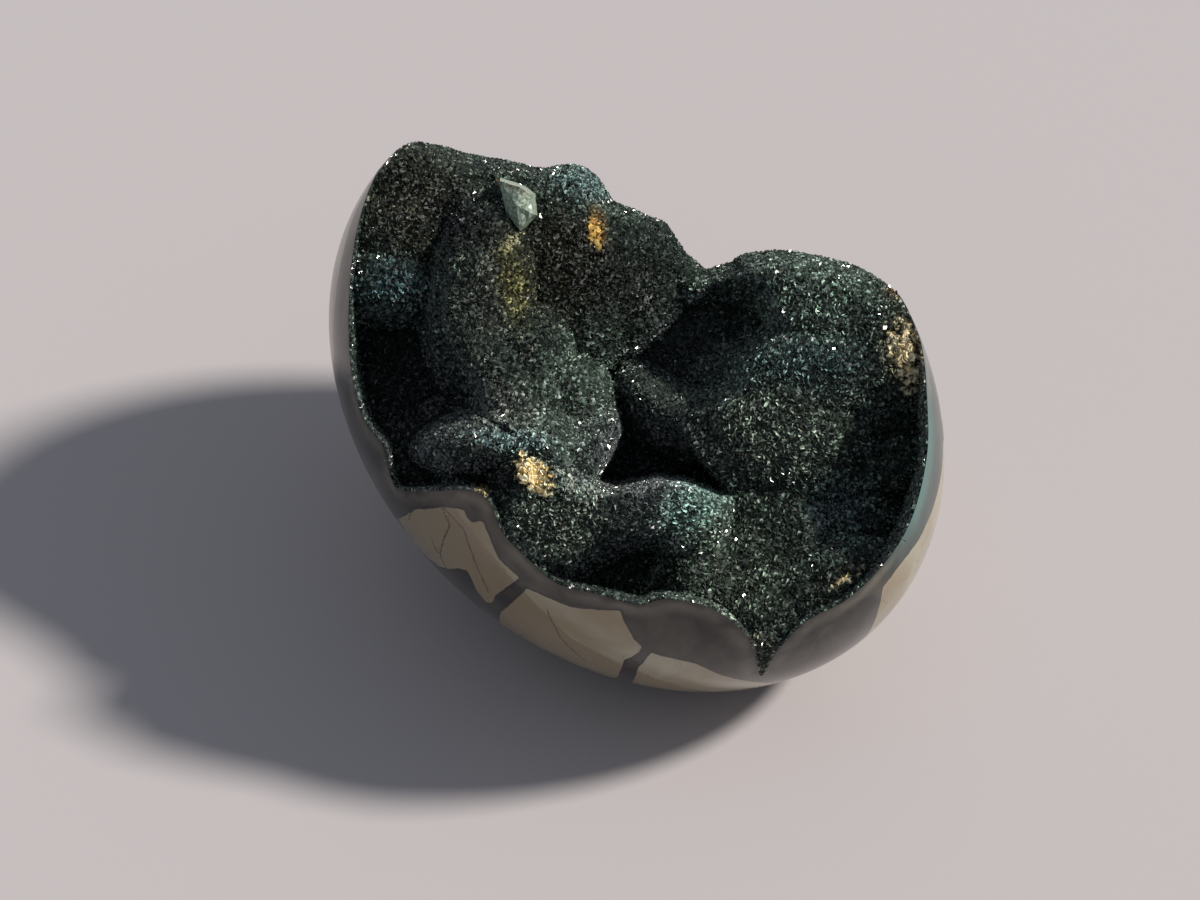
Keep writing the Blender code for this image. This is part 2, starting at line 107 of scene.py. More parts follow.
# The lobes of the lining: across, up, half length, half width, turn in degrees, how far out the
# top is, slope of the top across and up, and how far it falls by its edge.
LOBES = {
    "upper left": (-56, 53, 14, 15, -10, 1.5, -0.30, -0.25, 4.5),
    "left": (-59.5, 39, 10.5, 9.5, 0, 9, -0.40, -0.20, 4.5),
    "left ledge": (-62, 26.5, 11, 7.5, -8, 15.5, -0.35, -0.10, 7.5),
    "small hollow floor": (-43.5, 43, 14, 9.5, -10, -10.5, -0.10, -0.20, 4.5),
    "far left rim": (-39.5, 55.5, 16.5, 6.5, -8, -10, -0.20, -0.20, 6),
    "far middle rim": (-24, 50.5, 13, 8.5, -5, -14.5, 0.0, -0.20, 4.5),
    "far knob": (-14, 51, 7.5, 7.5, 0, -11.5, -0.20, -0.30, 6),
    "crest shoulder": (-38.5, 25.5, 8, 15.5, -5, 21, -0.35, -0.30, 5),
    "upper fold": (-28, 9.5, 9, 10, -30, 19, -0.50, -0.35, 8.5),
    "right fold": (-15.5, -4, 9, 13, 20, 12.5, -0.40, -0.40, 15),
    "lower fold": (-27.5, -4.5, 9.5, 9.5, -20, 24.5, -0.50, -0.40, 8.5),
    "streak": (-31, 27, 5, 12.5, 0, 10, -0.30, -0.20, 7.5),
    "wall left": (-17.5, 30.5, 13.5, 18.5, 0, -5, -0.35, -0.10, 4),
    "wall right": (-4, 25.5, 16.5, 16, -20, -19, -0.50, -0.20, 5),
    "wall top": (5, 37, 13, 11.5, -35, -31, -0.30, -0.40, 5.5),
    "right lobe": (49.5, 20.5, 16, 12.5, -4, 3, 0.20, -0.50, 4.5),
    "right rim": (63.5, 10.5, 10.5, 11, 0, 12.5, 0.30, -0.30, 5),
    "right crest": (45, 2, 19.5, 9, 6, 15, 0.05, -0.15, 5),
    "right slope": (36.5, -10.5, 18, 15, 20, 16.5, 0.05, -0.10, 5.5),
    "right slope foot": (22.5, -17, 11, 12, 30, 12.5, -0.05, -0.20, 6.5),
    "right step": (62.5, -18.5, 12.5, 5.5, 5, 10, 0.20, -0.20, 5.5),
    "right pit floor": (62.5, -5.5, 11.5, 11.5, 0, 1.5, 0.30, -0.10, 5),
    "lower right floor": (55, -33, 14.5, 11.5, 40, 2, 0.30, -0.40, 4.5),
    "lower right bump": (57.5, -33, 6, 6.5, 40, 9, 0.30, -0.40, 5),
    "front right": (46, -50, 14, 7.5, 15, 33, 0.10, -0.60, 4),
    "front slope": (33, -42, 13, 30, 0, 24, -0.10, -0.68, 4.5),
    "front knob": (13, -32, 9, 8.5, 20, 40, -0.40, -0.30, 10),
    "front knob foot": (19.5, -47, 10, 13.5, 20, 32, -0.60, -0.50, 5.5),
    "front pit floor": (-9, -42.5, 16.5, 9, 25, 26, -0.10, -0.30, 4.5),
    "middle pit floor": (3.5, -19.5, 15, 8.5, 0, -17.5, 0.0, -0.30, 6),
    "left hollow floor": (-59, -0.5, 13, 25, 0, -5, -0.20, -0.30, 4),
    "left hollow foot": (-49, -17, 13.5, 10, 0, 14, 0.20, -0.50, 4.5),
    "near flat": (-20, -31.5, 17, 9.5, 27, 51, 0.10, 0.02, 4.5),
    "near dimple": (-37.5, -20, 8.5, 6, 0, 35, 0.20, -0.20, 6),
    "near patch": (-24, -21, 10, 7.5, -40, 50.5, 0.08, 0.0, 4.5),
    "notch slope": (27, 28.5, 11, 6, 0, -7, 0.80, -0.20, 3),
    "near point": (31, -61, 11, 12, 0, 40, 0.0, -0.40, 4.5),
    "near bump": (-34, -14, 11, 4.5, 4, 47.5, -0.10, -0.5, 5),
}
# Ridges: crest points (across, up, out), how round the crest is, and the slope on its left and
# right side, walking along it.
RIDGES = {
    "left crest": (
        ((-41.5, 36, 15.5), (-45, 31.5, 19.5), (-45.5, 22, 24), (-44.5, 14.5, 26),
         (-41, 8, 29), (-37, 3, 30.5), (-34.5, -3, 32), (-31.5, -8.5, 35)),
        2.0, 0.8, 7.0,
    ),
    "near crest": (
        ((-30, -11, 42), (-26, -12.5, 46.5), (-19, -17.5, 51), (-14, -23, 52),
         (-9.5, -27, 52.5), (-4.5, -27.5, 51.5), (1, -26.5, 49.5), (5.5, -25, 46.5),
         (11, -27, 42.5)),
        2.0, 8.0, 0.12,
    ),
}
# The low crest between the pit and the hole, in the same form.
MIDDLE_CREST = (
    ((0, -0.5, -11), (4, -4.5, -3), (10, -8, 0), (16, -9, 5), (23.5, -7.5, 10)),
    1.5, 3.0, 3.0,
)
# Pits cut into the lobes: the outline of the edge, the greatest depth and how steeply it falls.
PITS = {
    "near pit": (
        (
            (-8.4, 5.4), (-6.4, -0.1), (-5.4, -10.6), (-8.1, -16.1), (-11.9, -21.6),
            (-11.4, -25.6), (-4.6, -27.1), (2.4, -25.3), (5.4, -24.3), (13.6, -25.6),
            (20.6, -28.1), (25.6, -27.3), (21.6, -22.1), (16.9, -17.1), (14.1, -12.6),
            (10.4, -8.1), (6.1, -4.3), (1.1, 0.7), (-3.9, 5.7),
        ),
        100.0, 30.0,
    ),
    "hole": (
        (
            (17.1, 24.9), (5.4, 14.4), (-5.9, 7.4), (-8.4, 5.4), (-3.9, 5.7), (1.1, 0.7),
            (6.1, -4.3), (10.4, -8.1), (18.6, -6.1), (26.9, -1.8), (28.6, 4.9), (35.4, 11.4),
            (40.4, 14.4), (35.6, 21.4), (34.1, 28.2), (27.4, 27.9), (21.1, 26.9),
        ),
        20.0, 4.0,
    ),
}
# The lowest the lining goes, how round the lobes and ridges meet, how far out a lobe goes on
# falling, and how far beside a crest its fall grows steep.
HOLLOW_FLOOR = -32.5
LOBE_BLEND = 2.0
LOBE_FAR = 3.0
RIDGE_BLEND = 1.5
RIDGE_REACH = 4.0
# Small lumps all over the lining: their length and rise, how many waves in chance directions
# make them, how much those differ in pitch, and how far the lining sinks so that the lumps stay
# within the solid's form.
LUMPS = ((15.0, 0.9), (7.0, 0.45))
LUMP_WAVES = 5
LUMP_PITCHES = (0.7, 1.3)
LUMP_DROP = 1.0
LUMP_SEED = 5

# The pale patches of the polished face that the veins part. Each corner is a bearing round the
# opening and an angle away from its middle, both in degrees as the ovoid's middle sees them.
PATCHES = {
    "near left": (
        (-147.9, 82.5), (-148.9, 65.8), (-147.2, 55.5), (-145.0, 50.2), (-143.2, 51.0),
        (-141.6, 50.9), (-140.6, 47.8), (-137.6, 49.3), (-132.1, 52.8), (-126.2, 53.4),
        (-127.3, 66.2), (-126.7, 71.2), (-127.4, 73.6), (-130.1, 71.3), (-132.2, 67.9),
        (-134.1, 66.1), (-135.5, 68.6), (-136.0, 72.5), (-137.5, 79.8), (-142.0, 88.0),
    ),
    "near": (
        (-123.5, 54.9), (-118.8, 53.4), (-113.5, 52.2), (-107.0, 48.9), (-102.8, 46.9),
        (-101.4, 50.0), (-98.5, 55.0), (-96.9, 57.0), (-97.2, 59.4), (-100.0, 64.7),
        (-100.5, 82.6), (-103.0, 102.0), (-113.0, 108.0), (-122.0, 96.0), (-124.4, 72.4),
    ),
    "near right": (
        (-94.7, 58.4), (-92.7, 59.1), (-88.3, 60.0), (-85.1, 61.0), (-80.4, 66.8),
        (-72.5, 76.3), (-66.0, 92.0), (-74.0, 104.0), (-90.0, 110.0), (-98.0, 98.0),
        (-97.5, 81.0), (-97.0, 67.0),
    ),
    "right": (
        (-51.5, 90.0), (-42.3, 70.3), (-37.6, 64.5), (-31.5, 65.6), (-23.8, 69.9),
        (-16.7, 73.7), (-9.2, 78.1), (-3.1, 81.0), (-4.0, 95.0), (-20.0, 104.0), (-42.0, 100.0),
    ),
    "far right": (
        (0.5, 82.0), (11.0, 86.0), (20.0, 90.0), (26.0, 100.0), (16.0, 110.0), (2.0, 101.0),
    ),
    "left": (
        (134.0, 90.0), (150.0, 84.0), (160.0, 80.0), (172.0, 80.0), (-179.5, 83.0),
        (-174.0, 93.0), (-178.0, 106.0), (160.0, 112.0), (140.0, 104.0),
    ),
}
# The line between the pale and the brown half of a patch, and the cracks, in the same measure.
TONE_LINE = ((-122.7, 56.9), (-110.9, 63.9), (-100.5, 67.5))
CRACKS = (
    ((-147.2, 55.5), (-141.2, 54.6), (-135.4, 59.4), (-128.7, 66.8)),
    ((-147.1, 56.3), (-143.4, 57.6), (-141.0, 65.4), (-139.0, 72.1), (-136.7, 74.9)),
    ((-142.5, 68.7), (-140.1, 71.8)),
    ((-117.5, 58.0), (-113.0, 66.0), (-107.0, 74.0)),
    ((-152.0, 60.5), (-149.5, 66.5), (-147.5, 73.0)),
)
# The other patches are the cells round middles in chance directions: how many middles, how alike
# two directions may be, and how soon the search ends. Then how their sides bend, and half the
# width of the veins between them.
PATCH_SEEDS = 34
PATCH_DRAW_SEED = 11
MOST_ALIKE = 0.86
GIVE_UP_CHANCE = 0.002
BEND_PITCH = 5.0
BEND_SHIFTS = 6
BEND_DEPTH = 0.09
VEIN_HALF_WIDTH = (1.0, 3.2)
# Millimetres to a degree, the angle beyond which those cells begin, and the width of the dark
# calcite along the rim.
DEGREE_SIZE = 1.3
TRACED_REACH = 92.0
RIM_BAND = 9.0
# The blue green strip on the right rim, a painted sheen on the polished edge: its middle and its
# spread across and up, how strong it is, and how far from the rim it goes.
SHEEN_AT = (74.0, -26.0)
SHEEN_SPREAD = (9.0, 26.0)
SHEEN_STRENGTH = 1.4
SHEEN_REACH = 5.0

# The crystals are small blades: how many to a square millimetre, half their length, how far they
# stand out of the lining and reach into it, their width as a share of their length, and how far
# they lean.
CRYSTALS_TO_AREA = 2.55
CRYSTAL_RADIUS = (0.42, 0.80)
CRYSTAL_HEIGHT = (0.40, 0.95)
CRYSTAL_ROOT = 0.35
CRYSTAL_FLATNESS = (0.32, 0.55)
CRYSTAL_TILT = math.radians(34.0)
CRYSTAL_SEED = 7
# The most crystals that one mesh holds.
CRYSTALS_TO_PIECE = 24000
# How much of a blade's length its upper edge keeps, and how light its four sunk corners and the two
# ends of that edge are: painted shade at the foot of each blade and painted light along its upper
# edge.
EDGE_SHARE = 0.6
BLADE_PAINTED_SHADING = (0.45, 0.45, 0.45, 0.45, 1.8, 1.8)
# The larger crystals of the clusters: their height as a share of their radius, how much of a
# cluster's half sizes their spread is, how light they are, and how far inside the rim they stay.
CLUSTER_RISE = 1.0
CLUSTER_SPREAD = 0.45
CLUSTER_LIGHTNESS = (0.5, 1.1)
CLUSTER_INSET = 1.0

# The broken pale crystal: the corners and the crest of its face as (across, up, out), the middle
# of its root, and how many times wider it is there.
PALE_CRYSTAL_FACE = (
    (-34.2, 51.8, 2.4), (-28.8, 50.0, 5.6), (-26.3, 48.2, 6.2), (-25.5, 43.2, 6.6),
    (-29.0, 39.2, 5.0), (-32.6, 44.0, 3.4),
)
PALE_CRYSTAL_CREST = (-29.6, 45.4, 7.2)
PALE_CRYSTAL_ROOT = (-28.6, 46.4, -14.0)
PALE_CRYSTAL_SPREAD = 1.15
# Its broken facets: how often each edge is cut and how deep a chip goes. Then the upper edge
# along which it is stained: a place on it and its slope, how far below it the stain goes, and how
# far out the stain is at its full strength.
CHIP_CUTS = 3
CHIP_DEPTH = 0.45
CHIP_SEED = 9
STAIN_AT = (-33.2, 51.4)
STAIN_SLOPE = -0.42
STAIN_REACH = 1.9
STAIN_DEPTH = 3.0

# Clusters of larger crystals: the middle across and up, the half sizes, the turn in degrees, how
# many, their radius, and their two colours.
CLUSTERS = {
    "near yellow": (
        -24.8, -21.3, 5.4, 3.0, -42, 240, (0.4, 1.0), (0.80, 0.52, 0.15), (0.90, 0.85, 0.60),
    ),
    "near silver": (
        -16.2, -23.2, 8.0, 2.8, -40, 90, (0.4, 0.75), (0.24, 0.30, 0.27), (0.50, 0.50, 0.40),
    ),
    "near edge": (
        -37.5, -25.0, 2.0, 1.2, 0, 12, (0.6, 1.1), (0.62, 0.42, 0.16), (0.66, 0.60, 0.42),
    ),
    "right rim": (
        66.8, 8.5, 3.4, 8.5, 15, 130, (0.5, 1.2), (0.46, 0.34, 0.15), (0.60, 0.55, 0.40),
    ),
    "right corner": (
        65.5, 25.5, 1.6, 4.0, 35, 26, (0.6, 1.2), (0.40, 0.20, 0.06), (0.50, 0.36, 0.16),
    ),
    "rusty streak": (
        -10.2, 38.5, 1.6, 4.4, 8, 26, (0.5, 1.1), (0.50, 0.26, 0.05), (0.62, 0.46, 0.14),
    ),
    "crystal foot": (
        -30.8, 36.4, 4.6, 1.8, 39, 50, (0.4, 0.85), (0.34, 0.30, 0.14), (0.36, 0.35, 0.22),
    ),
    "crystal edge": (
        -35.0, 51.2, 2.2, 1.0, -25, 12, (0.4, 0.7), (0.20, 0.14, 0.06), (0.30, 0.26, 0.16),
    ),
    "near right rim": (
        54.0, -46.0, 9.0, 1.0, 33, 14, (0.5, 1.1), (0.40, 0.28, 0.10), (0.60, 0.55, 0.42),
    ),
}

# The surfaces' gloss.
POLISH_ROUGHNESS = 0.22
POLISH_SPECULAR = 0.3
POLISH_COAT = 0.2
POLISH_COAT_ROUGHNESS = 0.06
CRYSTAL_ROUGHNESS = 0.16
CRYSTAL_IOR = 1.6
PALE_CRYSTAL_ROUGHNESS = 0.33
MATRIX_ROUGHNESS = 0.6
FLOOR_ROUGHNESS = 0.85

# The patterns in the materials: a noise's size in millimetres, its detail and its distortion,
# then the two values of it that the pattern runs between, and what it runs from and to.
PATTERNS = {
    "stain": ((26.0, 4.0, 0.6), (0.42, 0.62, 0.0, 1.0)),
    "mottle": ((5.0, 5.0, 0.0), (0.3, 0.7, 0.0, 0.35)),
    "cloud": ((9.0, 5.0, 0.8), (0.35, 0.7, 0.0, 1.0)),
    "broken band": ((12.0, 3.0, 0.0), (0.35, 0.6, 0.1, 0.9)),
    "crystal grain": ((0.5, 2.0, 0.0), (0.3, 0.7, 0.75, 1.25)),
    "crystal streak": ((1.4, 6.0, 2.5), (0.40, 0.60, 0.0, 1.0)),
    "crystal rust": ((1.1, 4.0, 1.0), (0.35, 0.6, 0.1, 1.0)),
}
MATRIX_MOTTLE = 2.0
# What moves the lines and edges on the polished face: a noise's size and detail, and its reach.
WANDERS = {
    "patch": (3.0, 3.0, 0.9),
    "cell": (7.0, 4.0, 3.0),
    "tone": (2.5, 3.0, 0.8),
    "crack": (1.5, 4.0, 1.2),
    "band": (6.0, 4.0, 3.0),
}
# How those lines and edges fade: the two distances between which they do, and the shares there
# where these aren't none and all.
FADES = {
    "patch": (-0.12, 0.12),
    "fine crack": (0.001, 0.005, 0.3, 0.0),
    "tone": (0.2, 0.6, 0.0, 0.8),
    "crack": (0.12, 0.34, 0.85, 0.0),
    "crack end": (1.2, 0.7),
    "band": (1.6, 3.2),
    "band end": (6.5, 4.0),
    "border": (0.3, 1.1, 0.7, 0.0),
}
# The net of fine cracks, and the noise that bends it: their scales, the detail and the amount.
FINE_CRACK_SCALE = 42.0
FINE_BEND_SCALE = 90.0
FINE_BEND_DETAIL = 3.0
FINE_BEND = 0.011

# Colours.
CREAM = (0.37, 0.345, 0.26)
CREAM_STAINED = (0.29, 0.225, 0.14)
CREAM_DULL = (0.27, 0.245, 0.18)
CREAM_BROWN = (0.235, 0.185, 0.12)
CRACK = (0.08, 0.06, 0.04)
CALCITE = (0.075, 0.068, 0.056)
CALCITE_PALE = (0.14, 0.126, 0.10)
CALCITE_DARK = (0.028, 0.025, 0.023)
# The blue green of the painted sheen on the right rim.
CALCITE_SHEEN = (0.09, 0.19, 0.18)
MATRIX_DARK = (0.008, 0.011, 0.009)
MATRIX_LIGHT = (0.022, 0.030, 0.024)
PALE_GREEN = (0.46, 0.55, 0.43)
PALE_GREEN_DARK = (0.15, 0.20, 0.15)
PALE_CRYSTAL_STAIN = (0.085, 0.062, 0.035)
FLOOR_COLOR = (0.51, 0.47, 0.475)
# The crystals' own colour, the share of pale ones among them, and how light pale and dark are.
CRYSTAL_GREEN = (0.72, 1.0, 0.80)
PALE_SHARE = 0.07
PALE_LIGHTNESS = (0.10, 0.32)
DARK_LIGHTNESS = 0.032
DARK_SPREAD = 0.7
# How uneven a place of another colour is, and how sharply it ends.
TINT_UNEVEN = 0.25
TINT_SHARPNESS = 1.5
# Places of another colour: across, up, half sizes, turn in degrees, the colour, how strong it is,
# and how many more pale crystals it has. Some are painted light rather than the crystals' own
# colour: painted shade, a painted shadow, painted fill light in shaded hollows and painted glints.
TINTS = {
    "upper left brown": (-56, 46, 13, 17, 0, (0.75, 0.72, 0.50), 0.8, 0.02),
    "left blue": (-61, 26, 9, 6.5, 0, (0.62, 1.05, 1.1), 0.9, 0.18),
    "far knob blue": (-14, 51, 8, 6, 0, (0.92, 1.4, 1.34), 0.9, 0.42),
    "wall brown": (-20, 31, 14, 15, 0, (0.62, 0.58, 0.38), 0.9, 0.0),
    "wall edge green": (8, 36, 8, 8, -40, (0.50, 0.70, 0.56), 0.85, -0.05),
    "crest green": (-37, 22, 6, 16, 0, (1.25, 1.4, 1.15), 0.8, 0.05),
    "streak olive": (-31, 26, 4, 12, 10, (1.3, 1.25, 0.52), 0.9, 0.2),
    "rusty streak": (-10, 39.5, 2.4, 5.5, 8, (2.0, 1.15, 0.32), 1.0, 0.5),
    "folds green": (-17, -4, 12, 14, -20, (1.65, 2.15, 1.75), 0.85, 0.03),
    "near yellow": (-24.6, -21.4, 5.0, 3.2, -42, (2.4, 1.9, 0.95), 1.0, 0.8),
    "near yellow edge": (-37.5, -25, 2.0, 2.0, 0, (2.2, 1.7, 0.8), 1.0, 0.8),
    "near blue": (-31, -13.0, 12, 2.7, -4, (1.35, 1.9, 1.85), 0.95, 0.5),
    "near crest green": (-15.5, -23, 8, 3.0, -42, (1.5, 1.85, 1.6), 0.9, 0.45),
    # Painted shade: the small hollow below the near crest, darkened, with fewer pale crystals,
    # where the crest's shadow falls.
    "near hollow painted shade": (-36, -20, 7, 4.5, -8, (0.22, 0.28, 0.28), 0.95, -0.3),
    "left flakes": (-33.9, -5, 10, 6, 0, (1.3, 1.35, 1.2), 0.8, 0.3),
    "wall middle dark": (-2, 26, 12, 10, -30, (0.50, 0.55, 0.45), 0.8, -0.03),
    # Painted shade: darker crystals, with fewer pale ones, where the front knob's shadow falls on
    # the near side.
    "near painted shade": (-5, -40, 11, 6, 35, (0.30, 0.36, 0.36), 0.8, -0.2),
    # Painted glints: more pale crystals in a shaded place, sparkling as if the key light reached
    # them.
    "right painted glints": (51, -30, 9, 9, 0, (0.9, 1.2, 1.2), 0.8, 0.35),
    # Painted fill light: the deep pit and the hole are made much lighter, with fewer pale crystals,
    # so their shade reads less black.
    "middle pit": (3.6, -18, 15, 12, 0, (2.6, 2.8, 2.9), 0.8, -0.2),
    "hole": (13, 9.5, 13, 9, 15, (1.5, 1.7, 1.7), 0.8, -0.1),
    # Painted shadow: the pale crystal's cast shadow, darkened into the crystals to its left, with
    # fewer pale ones.
    "painted crystal shadow": (-43.5, 41.5, 10, 6.5, -10, (0.30, 0.32, 0.32), 0.95, -0.2),
    # Painted fill light: the shaded left hollow is made a little lighter and bluer, with fewer pale
    # crystals, so its shade reads less black.
    "left hollow painted fill": (-54, -6, 13, 20, 0, (1.1, 1.2, 1.2), 0.9, -0.06),
    "right lobe green": (46, 22, 17, 11, -5, (2.1, 2.8, 2.3), 0.9, 0.04),
    "right rusty": (66, 26, 3.0, 5.0, -30, (1.5, 0.85, 0.3), 0.9, 0.35),
    "right rim yellow": (66.5, 9.5, 6.0, 8.5, 0, (1.7, 1.35, 0.7), 0.95, 0.45),
    "right ridge blue": (42, 5, 19, 7, 5, (0.85, 1.35, 1.3), 0.8, 0.16),
    "right slope brown": (33, -11, 18, 12, 10, (1.9, 2.25, 1.8), 0.85, 0.17),
    "front knob blue": (13, -30, 9, 7, 10, (1.5, 2.3, 2.0), 0.9, 0.5),
    "front slope green": (24, -46, 13, 14, 20, (1.35, 1.7, 1.3), 0.85, 0.07),
    "near flat": (-21, -33.5, 14, 8.5, 20, (1.5, 1.75, 1.4), 0.85, 0.33),
    "near right rim": (50, -47, 14, 3.0, 30, (0.75, 0.80, 0.66), 0.8, 0.03),
    "near point": (31, -66, 4, 6, 0, (1.2, 1.1, 0.8), 0.7, 0.15),
}

# The lights and the floor, and the way to the sun in the frame of the opening.
SUN_TOWARD = (0.746, 0.522, 0.417)
KEY_STRENGTH = 4.1
KEY_COLOR = (1.0, 0.96, 0.90)
KEY_ANGLE = math.radians(8.0)
SOFT_COLOR = (0.78, 0.87, 1.0)
SOFT_STRENGTH = 0.30
FLOOR_HALF = 3000.0

# The camera is two metres from the ovoid's middle and looks past that middle.
CAMERA_DISTANCE = 2000.0
CAMERA_LENS = 240.0
CAMERA_SENSOR = 36.0
CAMERA_PAST = (-8.9, -15.6)
CAMERA_CLIP = (0.01, 20.0)


def ovoid_axis():
    """The direction of the ovoid's long axis."""
    return Vector((math.cos(LEAN), 0.0, -math.sin(LEAN)))


def ovoid_middle():
    """The ovoid's middle, with the foot at height zero."""
    half_height = math.hypot(LONG_HALF * math.sin(LEAN), SHORT_HALF * math.cos(LEAN))
    along = LONG_HALF * SHORT_HALF / half_height
    share = FOOT_RADIUS / math.sqrt(along * SHORT_HALF)
    return Vector((0.0, 0.0, half_height * math.sqrt(1.0 - share * share)))


def opening_turn():
    """The turn from the opening's frame to the model's frame."""
    across = Vector((math.cos(OPENING_TURN), math.sin(OPENING_TURN), 0.0))
    out = Vector((
        math.sin(OPENING_TURN) * math.cos(OPENING_LIFT),
        -math.cos(OPENING_TURN) * math.cos(OPENING_LIFT),
        math.sin(OPENING_LIFT),
    ))
    up = out.cross(across)
    return Matrix((across, up, out)).transposed()


TURN = np.array(opening_turn())
MIDDLE = np.array(ovoid_middle())
AXIS = TURN.T @ np.array(ovoid_axis())
ALONG = np.outer(AXIS, AXIS)
OVOID_FORM = (np.eye(3) - ALONG) / SHORT_HALF**2 + ALONG / LONG_HALF**2
TO_SPHERE = (np.eye(3) - ALONG) / SHORT_HALF + ALONG / LONG_HALF


def to_model(places):
    """Places in the opening's frame, in millimetres, as places in the model, in metres."""
    return (places @ TURN.T + MIDDLE) * MM


def ovoid_face(across, up):
    """How far out the ovoid's near side is at each place across the opening."""
    form = OVOID_FORM
    linear = 2.0 * (form[0, 2] * across + form[1, 2] * up)
    rest = form[0, 0] * across**2 + 2.0 * form[0, 1] * across * up + form[1, 1] * up**2 - 1.0
    inside = np.maximum(linear**2 - 4.0 * form[2, 2] * rest, 0.0)
    return (np.sqrt(inside) - linear) / (2.0 * form[2, 2])


def smooth_line(points):
    """A round line through the points."""
    last = len(points) - 1
    line = []
    for index in range(last):
        four = [points[min(max(index + offset, 0), last)] for offset in (-1, 0, 1, 2)]
        before, start, end, after = (np.array(point, float) for point in four)
        for step in range(OUTLINE_STEPS):
            share = step / OUTLINE_STEPS
            line.append(0.5 * (
                2.0 * start
                + (end - before) * share
                + (2.0 * before - 5.0 * start + 4.0 * end - after) * share**2
                + (3.0 * start - before - 3.0 * end + after) * share**3
            ))
    line.append(np.array(points[last], float))
    return line


def depth_inside(across, up, outline):
    """The distance to a closed outline, above zero inside it."""
    distance = np.full(across.shape, np.inf)
    inside = np.zeros(across.shape, bool)
    for start, end in zip(outline, outline[1:] + outline[:1]):
        run = end - start
        share = ((across - start[0]) * run[0] + (up - start[1]) * run[1]) / (run @ run)
        share = np.clip(share, 0.0, 1.0)
        beside = np.hypot(across - start[0] - share * run[0], up - start[1] - share * run[1])
        distance = np.minimum(distance, beside)
        crosses = (start[1] > up) != (end[1] > up)
        if run[1] != 0.0:
            inside ^= crosses & (across < start[0] + run[0] * (up - start[1]) / run[1])
    return np.where(inside, distance, -distance)


BEYOND = [np.array(place, float) for place in BEYOND_FAR_EDGE]
OPENING = smooth_line(RIM) + BEYOND
PAST_FAR_EDGE = smooth_line(FAR_EDGE) + BEYOND


def smooth_max(first, second, blend):
    """The higher of two surfaces, rounded where they meet."""
    share = np.clip(0.5 + 0.5 * (first - second) / blend, 0.0, 1.0)
    return second + (first - second) * share + blend * share * (1.0 - share)


def in_ellipse(across, up, ellipse):
    """How far along and beside an ellipse each place is, in its half sizes. The ellipse is its
    middle, its half sizes and its turn in degrees."""
    at_across, at_up, half_length, half_width, turn = ellipse
    turn = math.radians(turn)
    right = across - at_across
    ahead = up - at_up
    along = (right * math.cos(turn) + ahead * math.sin(turn)) / half_length
    beside = (ahead * math.cos(turn) - right * math.sin(turn)) / half_width
    return along, beside


def lobe_height(across, up, lobe):
    """A lobe: a sloping top that falls ever faster away from its middle."""
    along, beside = in_ellipse(across, up, lobe[:5])
    radius = np.minimum(np.hypot(along, beside), LOBE_FAR)
    top, slope_across, slope_up, fall = lobe[5:]
    right = across - lobe[0]
    ahead = up - lobe[1]
    return top + slope_across * right + slope_up * ahead - fall * radius**3


def ridge_height(across, up, ridge):
    """A ridge: a crest line with a slope of its own on each side."""
    crest, roundness, slope_left, slope_right = ridge
    height = np.full(across.shape, -np.inf)
    for start, end in zip(crest, crest[1:]):
        run_across = end[0] - start[0]
        run_up = end[1] - start[1]
        right = across - start[0]
        ahead = up - start[1]
        share = (right * run_across + ahead * run_up) / (run_across**2 + run_up**2)
        share = np.clip(share, 0.0, 1.0)
        off_across = right - share * run_across
        off_up = ahead - share * run_up
        on_left = run_across * off_up - run_up * off_across > 0.0
        slope = np.where(on_left, slope_left, slope_right)
        beside = np.sqrt(off_across**2 + off_up**2 + roundness**2) - roundness
        fall = slope * beside + (beside / RIDGE_REACH) ** 3
        height = np.maximum(height, start[2] + share * (end[2] - start[2]) - fall)
    return height


def pit_depth(across, up, pit):
    """How deep a pit is cut at each place."""
    outline, deepest, steepness = pit
    inside = depth_inside(across, up, [np.array(place, float) for place in outline])
    return np.clip(steepness * inside, 0.0, deepest)


def lump_height(across, up):
    """Small lumps with creases between them, over the whole lining."""
    chance = np.random.default_rng(LUMP_SEED)
    height = np.zeros(across.shape)
    for length, rise in LUMPS:
        waves = np.zeros(across.shape)
        for _ in range(LUMP_WAVES):
            turn = chance.uniform(0.0, 2.0 * np.pi)
            pitch = 2.0 * np.pi / length * chance.uniform(*LUMP_PITCHES)
            ahead = across * math.cos(turn) + up * math.sin(turn)
            waves += np.sin(pitch * ahead + chance.uniform(0.0, 2.0 * np.pi))
        height += rise * np.abs(waves) / math.sqrt(LUMP_WAVES)
    return height


def lining_height(across, up):
    """How far out the lining's surface is, without its crystals."""
    height = np.full(across.shape, HOLLOW_FLOOR)
    for lobe in LOBES.values():
        height = smooth_max(height, lobe_height(across, up, lobe), LOBE_BLEND)
    for ridge in RIDGES.values():
        height = smooth_max(height, ridge_height(across, up, ridge), RIDGE_BLEND)
    for pit in PITS.values():
        carved = np.maximum(height - pit_depth(across, up, pit), HOLLOW_FLOOR)
        height = np.minimum(height, carved)
    height = smooth_max(height, ridge_height(across, up, MIDDLE_CREST), RIDGE_BLEND)
    height += lump_height(across, up) - LUMP_DROP
    inside_rim = depth_inside(across, up, OPENING)
    face = ovoid_face(across, up)
    height = smooth_max(height, face - RIM_WALL_STEEPNESS * inside_rim, LOBE_BLEND)
    height = np.minimum(height, face - RIM_STEEPNESS * np.clip(inside_rim, -RIM_CLEAR, RIM_DROP))
    past_edge = depth_inside(across, up, PAST_FAR_EDGE) + FAR_INSET
    past_edge = 0.5 * (past_edge + np.hypot(past_edge, FAR_SHOULDER))
    return height - FAR_STEEPNESS * past_edge


def above_ovoid(places):
    """About how far outside the ovoid each place is."""
    reach = np.linalg.norm(places @ TO_SPHERE.T, axis=-1)
    return (reach - 1.0) * SHORT_HALF


